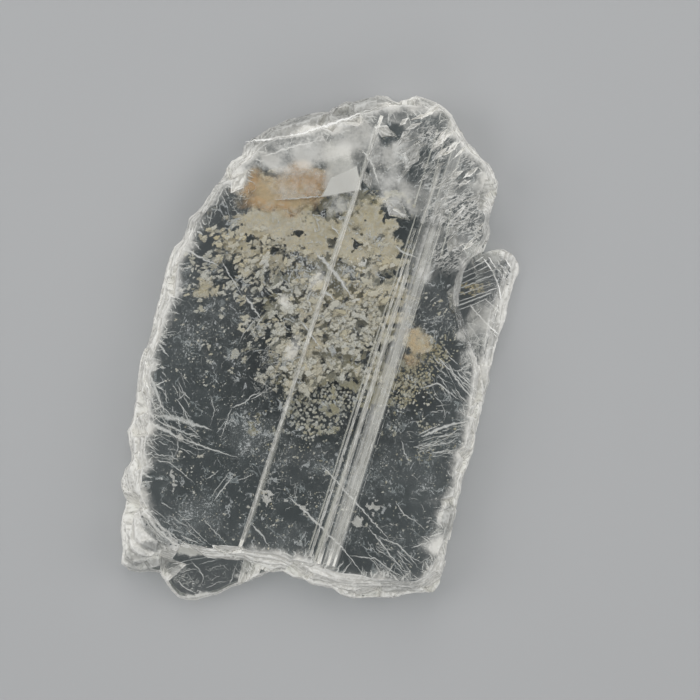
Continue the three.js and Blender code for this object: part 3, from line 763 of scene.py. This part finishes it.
milky = Finish("cream_film")
place = milky.places()
grain = milky.cloud(place, 1100, 4, 0.6)
patch = milky.between(milky.cloud(place, 110, 3), 0.4, 0.62)
tint = milky.blend(patch, CREAM_WHITE, CREAM_TAN)
solid = milky.between(milky.mark("depth") + (grain - 0.5) * 1.2, -0.05, 0.5) * 0.62
milky.surface({"Base Color": tint, "Roughness": 0.7, "Alpha": solid})
cream = film("cream_film", cream_value, (-18, 22, -20, 36), 0.24, CREAM_LEVEL)
cream.data.materials.append(milky.material)

# ---- White windows ----
# The few smooth air-filled gaps between sheets. The large one has a straight lower edge where a sheet
# ends. Small ones sit at crossings of cracks.
WINDOW = (((0.2, 34), 1.6), ((2.5, 38.8), 1.0), ((8.4, 41.3), 2), ((9.5, 35.6), 2.5))
WINDOW_SOFT = (
    ((-0.5, 35.4), 0.12), ((-0.9, 44.9), 0.10), ((1.4, 47.6), 0.10), ((7.3, 47.6), 0.2), ((9.5, 36.3), 1),
)
WINDOW_LEFT = (((-10.4, 33.1), 0.06), ((-13.1, 42.7), 0.05), ((0.5, 43.6), 0.1), ((1.4, 34.5), 1))
WINDOW_PALE = (
    ((0.5, 34), 0.15), ((0.5, 34.5), 1), ((9.5, 35.6), 0.15), ((10, 32.5), 0.06), ((5.7, 27.7), 0.06),
    ((1.4, 30), 0.08),
)
PATCHES = (
    (-31.5, -20.1, 0.7, 1.4, 60), (-7.9, -34.4, 1.6, 0.9, 10), (-3.9, -36, 1.4, 1.1, -20),
    (12.2, -35.7, 1.4, 1.6, 30), (8.8, -39.1, 2, 1.4, -20), (-32.9, -29.4, 0.9, 2.5, 0),
    (-12.2, -33.5, 1.8, 1.8, 0), (-11.6, 19.1, 1.8, 1.6, 0), (-17, -16.9, 0.4, 0.4, 0),
    (-35.6, -29.4, 0.5, 0.5, 0), (9.1, 18.9, 2, 1.4, 0),
)


def facing(x, y, corners):
    """How far inside a shape with straight sides each place is. Each corner, clockwise, comes with how
    steeply the shape sets in from the side after it."""
    least = np.full(np.shape(x), 99.0)
    for ((x0, y0), steep), ((x1, y1), _) in zip(corners, corners[1:] + corners[:1]):
        long = math.hypot(x1 - x0, y1 - y0)
        least = np.minimum(least, ((y1 - y0) * (x - x0) - (x1 - x0) * (y - y0)) / long * steep)
    return least


def window_value(x, y):
    window = facing(x, y, WINDOW) + 0.04 * drift(x, y, 2, 41, 3)
    soft = np.minimum(facing(x, y, WINDOW_SOFT), 0.34) + 0.05 * drift(x, y, 3, 45, 3)
    faint = np.minimum(facing(x, y, WINDOW_LEFT), 0.16) + 0.05 * drift(x, y, 3, 44, 3)
    pale = np.minimum(facing(x, y, WINDOW_PALE), 0.17) + 0.12 * drift(x, y, 1.2, 42, 3)
    patches = np.minimum(inside(x, y, PATCHES) * 1.1 + 0.9 * drift(x, y, 0.7, 43, 4) - 0.25, 0.30)
    return np.max([window, soft, faint, pale, patches], axis=0)


WINDOW_LEVEL = 11.2
WINDOW_CREAM, WINDOW_WHITE = (0.96, 0.93, 0.86, 1), (0.99, 0.97, 0.92, 1)
windows = film("white_windows", window_value, (-36, 16, -44, 48), 0.25, WINDOW_LEVEL)
gap = Finish("air_gap")
place = gap.places()
grain = gap.cloud(place, 500, 4, 0.6)
solid = gap.between(gap.mark("depth") + (grain - 0.5) * 0.4, 0.0, 0.6)
tint = gap.blend(grain, WINDOW_CREAM, WINDOW_WHITE)
gap.surface({"Base Color": tint, "Roughness": 0.5, "Alpha": solid})
windows.data.materials.append(gap.material)

# ---- Cracks ----
# Thin white cracks and feathers that run in from the broken edges, and a few long scratches across
# the cleavage lines. Each is a sliver of air with a pointed end.
CRACK_LEVEL = 10.9
CRACKS = (  # points, width in mm
    (((-37.2, -14.9), (-30.6, -16.3), (-24.2, -18.5)), 1.5),
    (((-38.1, -16.9), (-34, -18.8), (-30.8, -21)), 1.0),
    (((-31.3, -20.3), (-24.9, -22.6), (-18.1, -24.9)), 0.5),
    (((-36.7, -16.3), (-32.6, -18.1), (-26.3, -20.8)), 0.6),
    (((-38.5, -5.4), (-36.7, -9.9), (-34.9, -14.7)), 0.9),
    (((-39.4, -6.7), (-38.1, -10.8), (-36.7, -14.7)), 0.7),
    (((-20.4, -13.5), (-17, -12.4), (-15.2, -10.6), (-11.6, -9.9)), 0.4),
    (((-15.4, -11.5), (-11.8, -9.5)), 0.4), (((-19.9, -13.5), (-21.3, -17.4), (-22.4, -20.8)), 0.3),
    (((-13.1, 8.2), (-17.4, 3), (-18.6, 0.5)), 0.3), (((-12.2, 7.8), (-16.3, 2.3)), 0.3),
    (((-32.2, -11.7), (-30.1, -10.1)), 0.35), (((-34.4, -25.3), (-28.3, -30.3)), 0.35),
    (((-24, -34.4), (-18.6, -27.6)), 0.4), (((-24.7, -33.7), (-19.5, -26.7)), 0.25),
    (((-25.4, -29.4), (-22.7, -27.6)), 0.35), (((-18.8, -29.9), (-14.7, -28.3)), 0.3),
    (((-31.3, 22.7), (-27.2, 20.7), (-22.2, 18.2)), 0.7),
    (((-40.8, -34.2), (-35.6, -40.3), (-30.6, -43.9), (-26.5, -45)), 0.5),
    (((-40.1, -36.2), (-35.8, -41.6), (-31, -45.3)), 0.8),
    (((-39.2, -38.9), (-36.3, -42.8), (-33.1, -45.5)), 0.5),
    (((-40.6, -35.3), (-36.7, -40.5), (-32.6, -43.9), (-28.1, -45.5)), 0.7),
    (((-39.9, -37.6), (-37.2, -41.2), (-34.4, -43.7)), 0.4),
    (((-7, -33.5), (-4.1, -36), (5.7, -45.7), (9.7, -50.9)), 0.7),
    (((0, -25.8), (10.7, -37.6), (17, -44.8)), 0.55),
    (((-15.4, -39.6), (-13.1, -42.1), (-11.3, -44.8)), 0.55), (((-30.4, -38.9), (-24.2, -44.8)), 0.3),
    (((-26.3, -38.5), (-21.1, -44.1)), 0.35), (((-32.6, -11.3), (-29, -15.8)), 0.3),
    (((26.7, -2), (30.6, -6.7), (34.7, -12)), 0.55), (((22.7, -9), (26.5, -7.9), (32, -12)), 0.5),
    (((30.6, -7.2), (35.3, -12)), 0.6), (((28.1, -3.1), (34.4, -10.4)), 0.4),
    (((29.9, -4.5), (35.8, -9.9)), 0.4), (((22.7, -19.9), (28.3, -17.6), (34.2, -16.3)), 1.0),
    (((22.9, -21), (29.5, -19)), 0.35), (((23.6, -22.4), (31, -20.8)), 0.3),
    (((24.9, -23.7), (32.2, -22.6)), 0.35), (((22.2, -19.4), (27.2, -17.2)), 0.4),
    (((18.4, -20.8), (19, -23.5), (20.2, -25.8)), 0.4),
    (((17, -34.4), (18.6, -37.1), (22.2, -39.4), (24.2, -41.4)), 0.35),
    (((13.1, -42.3), (18.1, -44.6), (22.7, -50)), 0.5),
    (((10.7, -40.1), (13.6, -43.5), (17, -48), (20.4, -51.8)), 0.45),
    (((6.8, -46.8), (12.5, -47.3), (19, -52.3)), 0.4), (((20.4, -45), (27.4, -42.8)), 0.4),
    (((15.4, -50.2), (18.1, -52.7)), 0.6), (((16.1, 31.6), (18.1, 30.4), (20.4, 29.5)), 0.9),
    (((-21.5, 36.5), (-22.9, 33.6), (-23.8, 29.5)), 0.5),
    (((-24.5, -10.6), (-23.8, -14), (-24.7, -17.4)), 0.3),
    (((-0.9, 21.4), (3.2, 17.3), (7.5, 11.2)), 1.2), (((-0.5, 14.6), (3.6, 10.7)), 0.9),
    (((-1.8, 13), (-2.7, 11.2), (-2, 9.1)), 0.8), (((2.7, 27.7), (4.5, 25.4)), 0.6),
    (((17, 23.2), (19, 21.4), (22.2, 20.5)), 0.8), (((-16.8, 11.8), (-13.1, 6.4)), 0.7),
    (((-22.2, 19.5), (-16.8, 10.9)), 0.4), (((-4.5, 6.4), (0.5, -0.4)), 0.6),
    (((-13.1, 43.1), (-4.5, 45.8), (2.3, 47.2)), 0.6),
    (((-16.8, 46.5), (-6.8, 47.6), (3.4, 50.8), (13.1, 54.4)), 1.0),
    (((-0.5, 49.9), (5.7, 51.3), (12.5, 53.5)), 0.6),
    (((-10, 33.4), (-4.5, 33.8), (1.4, 34.3), (9.3, 35.6)), 0.5),
    (((9.5, 44.9), (11.8, 41.5), (13.6, 35.9)), 0.6), (((26.3, -13.1), (29.5, -12.6)), 0.2),
    (((24.9, -14.4), (28.8, -13.8)), 0.2),
)


def sliver(places, faces, points, width, level, thick, chance, taper=(0.2, 0.45), wobble=1.0):
    """Adds one thin pointed sliver that runs along the points, as a closed mesh."""
    points = np.array(points, float)
    marks = np.concatenate(([0], np.cumsum(np.hypot(*np.diff(points, axis=0).T))))
    stations = np.linspace(0, marks[-1], max(5, int(marks[-1] / 0.5)))
    line = np.column_stack([np.interp(stations, marks, points[:, k]) for k in (0, 1)])
    line += chance.normal(0, wobble * (0.06 + 0.05 * width), line.shape)
    run = np.gradient(line, axis=0)
    run /= np.hypot(run[:, 0], run[:, 1])[:, None]
    share = stations / marks[-1]
    half = width / 2 * np.minimum(share / taper[0], 1)**0.7 * np.minimum((1 - share) / taper[1], 1)**0.8
    half = np.maximum(half * (1 + wobble * chance.uniform(-0.3, 0.25, len(half))), 0.04)
    heights = level + 0.15 * np.sin(share * 9)
    first = len(places)
    for (x, y), (along, up), reach, height in zip(line, run, half, heights):
        places += [(x - up * reach, y + along * reach, height - reach * 0.5), (x, y, height + thick),
                   (x + up * reach, y - along * reach, height + reach * 0.5), (x, y, height - thick)]
    for station in range(len(line) - 1):
        for side in range(4):
            a, b = first + station * 4 + side, first + station * 4 + (side + 1) % 4
            faces.append((b, a, a + 4, b + 4))
    last = len(places) - 4
    faces += [(first, first + 1, first + 2, first + 3), (last + 3, last + 2, last + 1, last)]


def slivers(name, lines, material, level, thick, seed, taper=(0.2, 0.45), wobble=1.0):
    """One piece of many slivers. Each line is its points and its width."""
    chance = np.random.default_rng(seed)
    places, faces = [], []
    for points, width in lines:
        sliver(places, faces, points, width, level + chance.uniform(-0.5, 0.5), thick, chance, taper,
               wobble)
    piece = embed(name, places, faces)
    piece.data.materials.append(material)
    keep(piece.data, "depth", np.tile((0, 1, 0, 1), len(places) // 4))


def air_white(name, first, second, scale, ragged, most, roughness=0.5):
    """The finish of a sliver of air: two whites in a fine grain, which also frays its edges."""
    finish = Finish(name)
    grain = finish.cloud(finish.places(), scale, 4, 0.6)
    solid = finish.between(finish.mark("depth") + (grain - 0.5) * ragged, 0.0, 1.0) * most
    tint = finish.blend(grain, first, second)
    finish.surface({"Base Color": tint, "Roughness": roughness, "Alpha": solid})
    return finish.material


white = air_white("crack_white", (0.88, 0.87, 0.83, 1), (0.96, 0.95, 0.92, 1), 900, 0.6, 0.95, 0.4)
slivers("cracks", CRACKS, white, CRACK_LEVEL, 0.10, 3)

# The cleavage lines are the edges of sheets that end inside the plate, and run its whole length.
MAIN_LINE = (
    (-1.4, -48.7), (3.9, -32.6), (8.4, -19), (15.2, 3.5), (19.7, 18.2), (24, 31.3), (27.2, 40.8),
)
INNER_LINE = (
    (-2.7, -46.2), (2.3, -30.8), (6.1, -18.5), (9.7, -7.2), (15.6, 11.4), (20.2, 25.4), (22, 30.9),
)
LEFT_LINE = (
    (-17.9, -44.8), (-12.5, -28.9), (-6.8, -10.8), (-1.8, 5.9), (3.4, 22.3), (7.3, 33.6), (13.8, 52.2),
)
LEFT_VEIL = (
    (-17.7, -44.8), (-12.2, -28.9), (-6.6, -10.8), (-1.6, 5.9), (3.6, 22.3), (7.5, 33.6), (13.8, 52.2),
)
SHEET_VEILS = (  # points, width in mm
    (LEFT_VEIL, 1.5), (MAIN_LINE, 1.3), (INNER_LINE, 0.7),
    (((2.3, -48), (6.8, -34.4), (11.3, -20.3), (16.5, -2.7), (20.4, 10), (25.8, 27.7)), 3.0),
)
SHEET_ENDS = (
    (LEFT_LINE, 0.65), (((-17.7, -43.5), (-12, -27.6), (-6.3, -9.5)), 0.35),
    (((-5.4, -6.7), (-0.5, 8.2), (4.8, 24.5)), 0.5), (MAIN_LINE, 0.9),
    (((-0.7, -47.5), (4.5, -32.1), (8.8, -19.4), (15.6, 3), (20.2, 17.7)), 0.4), (INNER_LINE, 0.26),
    (((0.7, -48.7), (5.7, -33), (10, -19.9)), 0.22),
    (((1.6, -48.4), (6.8, -32.1), (11.3, -18.5), (15.4, -5.4)), 0.25),
    (((3.4, -48.4), (8.4, -33), (12.7, -19.4), (17.2, -4.9)), 0.35),
    (((17.2, -6.3), (20.2, 3.5), (24.9, 19.5), (27.4, 27.7)), 0.4),
    (((14.3, -8.3), (18.1, 4.1), (22.7, 19.5)), 0.25), (((24.5, 34), (27.4, 44.9), (29.5, 51.7)), 0.5),
    (((26.3, 33.6), (29.9, 44.9)), 0.4), (((28.1, 32.5), (32.2, 44.9)), 0.4),
    (((21.3, 32.2), (24.5, 42.7), (26.7, 49.5)), 0.5), (((10.4, 42.7), (12.7, 50.6)), 0.6),
    (((29.7, 32.2), (28.6, 25.7), (27.2, 20.5)), 0.6),
)
ENDS_LEVEL, VEILS_LEVEL = 10.7, 9.6
edge = air_white("sheet_edge", (0.80, 0.775, 0.69, 1), (0.92, 0.90, 0.82, 1), 700, 0.9, 0.62)
pale = air_white("veil_white", (0.80, 0.765, 0.68, 1), (0.92, 0.89, 0.81, 1), 500, 1.1, 0.38)
slivers("sheet_ends", SHEET_ENDS, edge, ENDS_LEVEL, 0.08, 21, (0.03, 0.05), 0.3)
slivers("sheet_veils", SHEET_VEILS, pale, VEILS_LEVEL, 0.06, 22, (0.02, 0.05), 0.3)

# Fine threads lie everywhere, and close strokes rise to the right in the hackly upper right part.
THREAD_FIELDS = (  # oval, how many, lean, spread of the lean, shortest and longest, width
    ((-24.9, -16.3, 13.6, 24.9, 0), 60, 55, 60, 0.4, 1.8, 0.12),
    ((-4.5, -29.9, 13.6, 18.1, 0), 60, 60, 60, 0.5, 2.2, 0.13),
    ((20.4, -27.6, 10.2, 18.1, 0), 60, -30, 60, 0.5, 2.2, 0.14),
    ((-19.3, 10.9, 13.6, 11.3, 0), 40, 30, 60, 0.5, 2.0, 0.15),
    ((33.3, 30.2, 5.9, 11.8, 80), 150, 28, 16, 0.8, 2.6, 0.22),
    ((27.2, 44.9, 7.7, 9.1, 50), 80, 50, 30, 0.6, 2.2, 0.2),
    ((23.8, 39.3, 3.2, 6.8, 60), 40, 35, 20, 1.0, 3.0, 0.22),
    ((27.2, 6.4, 4.5, 9.1, 60), 70, 35, 35, 0.5, 1.8, 0.2),
    ((-18.1, 33.6, 3.2, 4.1, 0), 46, 60, 70, 0.6, 2.0, 0.16),
    ((-5.4, 15.5, 3.2, 5.9, 70), 50, 60, 50, 0.6, 2.2, 0.18),
    ((30.6, -6.1, 5.9, 7.7, 0), 60, -45, 18, 1.5, 5.0, 0.30),
    ((27.2, -20.8, 6.3, 3.6, 15), 50, 14, 12, 1.5, 5.0, 0.30),
    ((17, -48, 9.1, 4.1, -20), 40, -45, 15, 1.5, 5.0, 0.25),
    ((-34, -11.7, 4.1, 9.1, 0), 40, -60, 25, 1.5, 5.0, 0.3),
    ((-34, -20.8, 5.9, 5, 0), 36, -22, 16, 1.5, 5.0, 0.3),
    ((-35.1, -40.1, 5.9, 5.9, 0), 40, -45, 12, 2.0, 6.0, 0.3),
)


def strewn(field, chance, space=None):
    """Short bent lines with their widths, strewn over an oval, where space(x, y) leaves room for them."""
    (centre_x, centre_y, half_long, half_wide, lean), count, way, spread, least, most, width = field
    turn = math.radians(lean)
    lines = []
    for number in range(count):
        far, round_it = math.sqrt(chance.random()), chance.random() * math.tau
        u, v = far * math.cos(round_it) * half_long, far * math.sin(round_it) * half_wide
        x = centre_x + u * math.cos(turn) - v * math.sin(turn)
        y = centre_y + u * math.sin(turn) + v * math.cos(turn)
        run = math.radians(way + chance.normal(0, spread * 0.6))
        long = chance.uniform(least, most)
        bend = chance.normal(0, 0.25)
        parts = np.array((0, 0.35, 0.7, 1.0))
        line = np.column_stack((x + long * parts * np.cos(run + bend * parts),
                                y + long * parts * np.sin(run + bend * parts)))
        if space is None or min(space(*line.T)) > 0.4:
            lines.append((line, width * chance.uniform(0.5, 1.3)))
    return lines


chance = np.random.default_rng(12)
threads = [line for field in THREAD_FIELDS for line in strewn(field, chance, under_face)]

# A lace of short threads lies beside the left cleavage line.
LACE_FIELDS = (
    ((-12.2, -5.8, 6.3, 2.7, 80), 110, 60, 70, 0.4, 1.6, 0.16),
    ((-10.4, -28.9, 5.9, 2, 75), 60, 60, 70, 0.4, 1.5, 0.15),
    ((-16.3, 0.7, 4.5, 2.3, 60), 40, 50, 70, 0.4, 1.4, 0.14),
)
lace_chance = np.random.default_rng(14)
threads += [line for field in LACE_FIELDS for line in strewn(field, lace_chance, under_face)]

# Splinters run in from the broken edge, square to it.
SPLINTERS = 560
ASIDE = 1.2 * np.array(((1, 0), (-1, 0), (0, 1), (0, -1)))   # where the way inwards is felt
THREAD_LEVEL = 10.6
for number in range(SPLINTERS):
    x, y = rim_places[chance.integers(len(rim_places))] + chance.normal(0, 0.5, 2)
    right, left, up, down = under_face(*(ASIDE + (x, y)).T)
    if math.hypot(right - left, up - down) < 0.3:
        continue
    run = math.atan2(up - down, right - left) + chance.normal(0, 0.55)
    long = chance.uniform(0.8, 1.8) + chance.exponential(0.6)
    x, y = x + 0.9 * math.cos(run), y + 0.9 * math.sin(run)
    parts = np.array((0, 0.5, 1.0))
    line = np.column_stack((x + long * parts * math.cos(run), y + long * parts * math.sin(run)))
    if min(under_face(*line.T)) > 0.3:
        threads.append((line, chance.uniform(0.2, 0.7)))
slivers("fine_cracks", threads, white, THREAD_LEVEL, 0.08, 8)

# ---- Mist ----
# Two layers of dust-fine bubbles between the sheets, which cloud the clear parts a little. They hold
# specks, faint clouds and hair-fine healed cracks.
MIST_THICK = (
    (2.3, 10.9, 24.9, 24.9, 60), (-20.4, 8.7, 13.6, 13.6, 0), (18.1, -27.6, 11.3, 13.6, 0),
    (-9.1, -23.1, 7.7, 20.4, 72), (27.2, 10.9, 6.8, 13.6, 72), (-35.1, -23.1, 5.4, 13.6, 0),
    (-27.2, -38.9, 11.3, 6.8, 0), (-13.6, -42.3, 13.6, 5.9, 0),
)
DUST_GREY, DUST_WHITE = (0.78, 0.80, 0.80, 1), (0.90, 0.90, 0.88, 1)
MIST_BOX, MIST_STEP, MIST_FILM = (-48, 36, -56, 56), 1.1, 0.1
mist = Finish("mist")
place = mist.places()
clumps = mist.cloud(place, 90, 4, 0.6)
lumps = mist.cloud(place, 420, 4, 0.6)
specks = mist.cloud(place, 2300, 2, 0.6)
hair = mist.node("TexNoise", {"Vector": place, "Scale": 170, "Detail": 3.0, "Roughness": 0.6,
                              "Distortion": 0.6})
broken_up = mist.between(mist.cloud(place, 260, 2), 0.52, 0.62)
thick = mist.mark("cloudy")
dust = mist.between(specks + (clumps - 0.5) * 0.7 + (lumps - 0.5) * 0.5 + thick * 0.05, 0.70, 0.80)
haze = mist.between(clumps * 0.6 + lumps * 0.4 + thick * 0.12, 0.45, 0.85) * 0.065
hairs = (1 - mist.between(abs(hair - 0.5), 0.006, 0.016)) * broken_up * 0.5
mist.surface({
    "Base Color": mist.blend(lumps, DUST_GREY, DUST_WHITE), "Roughness": 0.6,
    "Alpha": dust * 0.7 | haze | hairs})
for name, level in (("mist_upper", 10.2), ("mist_lower", 5.0)):
    layer = film(name, lambda x, y: np.ones(x.shape), MIST_BOX, MIST_STEP, level, MIST_FILM)
    x, y, _ = np.array([vertex.co for vertex in layer.data.vertices]).T / MM
    keep(layer.data, "cloudy", covered(x, y, MIST_THICK, 1.5))
    layer.data.materials.append(mist.material)

# ---- The ledge and the tongue ----
# Lower sheets of the same plate, at its right and at its foot. They have cracks and threads of their
# own, and the ledge a row of clear dark bars between its cracks.
LEDGE_LEVEL = 4.3
LEDGE_CRACKS = (
    (((30.4, 9.3), (35.3, 11.2), (39, 12.7)), 0.5), (((30.6, 8.4), (34.9, 10), (38.1, 11.4)), 0.3),
    (((32.2, 17.1), (35.3, 18.6), (38.1, 20.2)), 0.35),
    (((32.2, 15.9), (35.8, 17.5), (38.7, 19.1)), 0.35), (((32, 14.6), (35.8, 16.4), (39.4, 18)), 0.35),
    (((32, 13.7), (35.8, 15.2), (39.9, 16.8)), 0.4), (((31.5, 12.1), (35.8, 13.7), (40.1, 15.2)), 0.3),
    (((31, 10.5), (35.8, 12.1), (40.6, 13.9)), 0.3), (((32.6, 19.5), (32.2, 15.5), (31, 10.5)), 0.7),
    (((37.2, 20.5), (39.4, 17.3), (40.8, 13.7), (41.2, 10.9)), 0.5),
    (((38.3, 20.9), (40.6, 17.7), (41.7, 15.9)), 0.4), (((34, 10), (37.6, 5.9), (40.6, 3.2)), 0.5),
    (((37.4, 11.4), (40.8, 8.2)), 0.4), (((33.5, 5.9), (36.3, 1.9), (38.1, -0.8)), 0.4),
    (((30.6, 0.7), (34.9, 1.4), (37.2, 0.5)), 0.5), (((33.1, -0.8), (35.8, 0.1)), 0.4),
    (((38.5, 6.9), (37.2, -0.8)), 0.4), (((42.1, 20.5), (43.5, 18.2)), 0.4),
    (((35.3, 19.5), (37.2, 20.9)), 0.4),
)
LEDGE_THREADS = (
    ((36.5, 5, 7.7, 3.2, 72), 130, 40, 60, 0.4, 1.8, 0.2),
    ((34.9, -0.8, 5.4, 2.7, 72), 60, 60, 50, 0.6, 2.4, 0.22),
    ((40.8, 18.2, 2.3, 1.4, -50), 24, -50, 30, 0.5, 2.0, 0.25),
)
ledge_threads = [line for field in LEDGE_THREADS for line in strewn(field, chance)]
ledge_lines = list(LEDGE_CRACKS) + ledge_threads
slivers("ledge_cracks", ledge_lines, white, LEDGE_LEVEL, 0.06, 5, (0.06, 0.1), 0.6)

# A breath of yellow clay lies between two of its cracks.
BREATH, BREATH_MIDDLE, BREATH_SPREAD = 46, (34.7, 13.4), (1.5, 0.75)
BREATH_LEVEL = 3.4
x, y = (np.array(BREATH_MIDDLE) + chance.normal(0, 1, (BREATH, 2)) * BREATH_SPREAD).T
size = chance.uniform(0.15, 0.4, BREATH)
bed("ledge_clay", x, y, size, 1.8, 20, 0.95, BREATH_LEVEL, chance)

TONGUE_LEVEL = 3.9
TONGUE_CRACKS = (
    (((-29.5, -48.4), (-27.9, -50), (-26.5, -52.3), (-27.2, -54.3)), 0.5),
    (((-20.8, -54.1), (-19.7, -51.2), (-18.8, -48.4)), 0.4),
    (((-18.1, -48.4), (-17, -49.8), (-15.9, -51.6)), 0.45), (((-27.6, -49.3), (-22.7, -48)), 0.35),
    (((-32.2, -51.4), (-29.9, -50.5), (-27.4, -50.2)), 0.35),
    (((-34.9, -50.5), (-31.7, -49.6), (-28.6, -48.9)), 0.4),
    (((-32.6, -53), (-30.4, -54.8), (-28.1, -55.9)), 0.5),
    (((-34, -49.3), (-29.5, -48.2), (-23.8, -47.5)), 0.4),
    (((-26.1, -54.8), (-23.6, -53.4), (-20.4, -53)), 0.3), (((-19.9, -49.3), (-17.2, -52.5)), 0.3),
    (((-22.2, -49.3), (-20.8, -50.7)), 0.25), (((-30.4, -51.2), (-29, -53), (-29.2, -54.8)), 0.3),
    (((-25.6, -50.7), (-24, -49.8), (-21.3, -49.3)), 0.25), (((-24.9, -53), (-23.1, -51.8)), 0.25),
)
TONGUE_THREADS = (
    ((-24.9, -51.8, 7.7, 2.3, 14), 70, 30, 70, 0.3, 1.0, 0.14),
    ((-32.2, -51.2, 2.3, 1.4, 30), 40, 0, 60, 0.4, 1.5, 0.2),
    ((-16.8, -49.8, 2, 1.8, 0), 26, -55, 14, 0.8, 2.2, 0.24),
    ((-30.1, -53.6, 3.6, 1.6, -30), 40, 10, 60, 0.3, 1.0, 0.2),
)
tongue_lines = [(points, width * 0.75) for points, width in TONGUE_CRACKS]
tongue_lines += [line for field in TONGUE_THREADS for line in strewn(field, chance)]
slivers("tongue_cracks", tongue_lines, white, TONGUE_LEVEL, 0.06, 4)
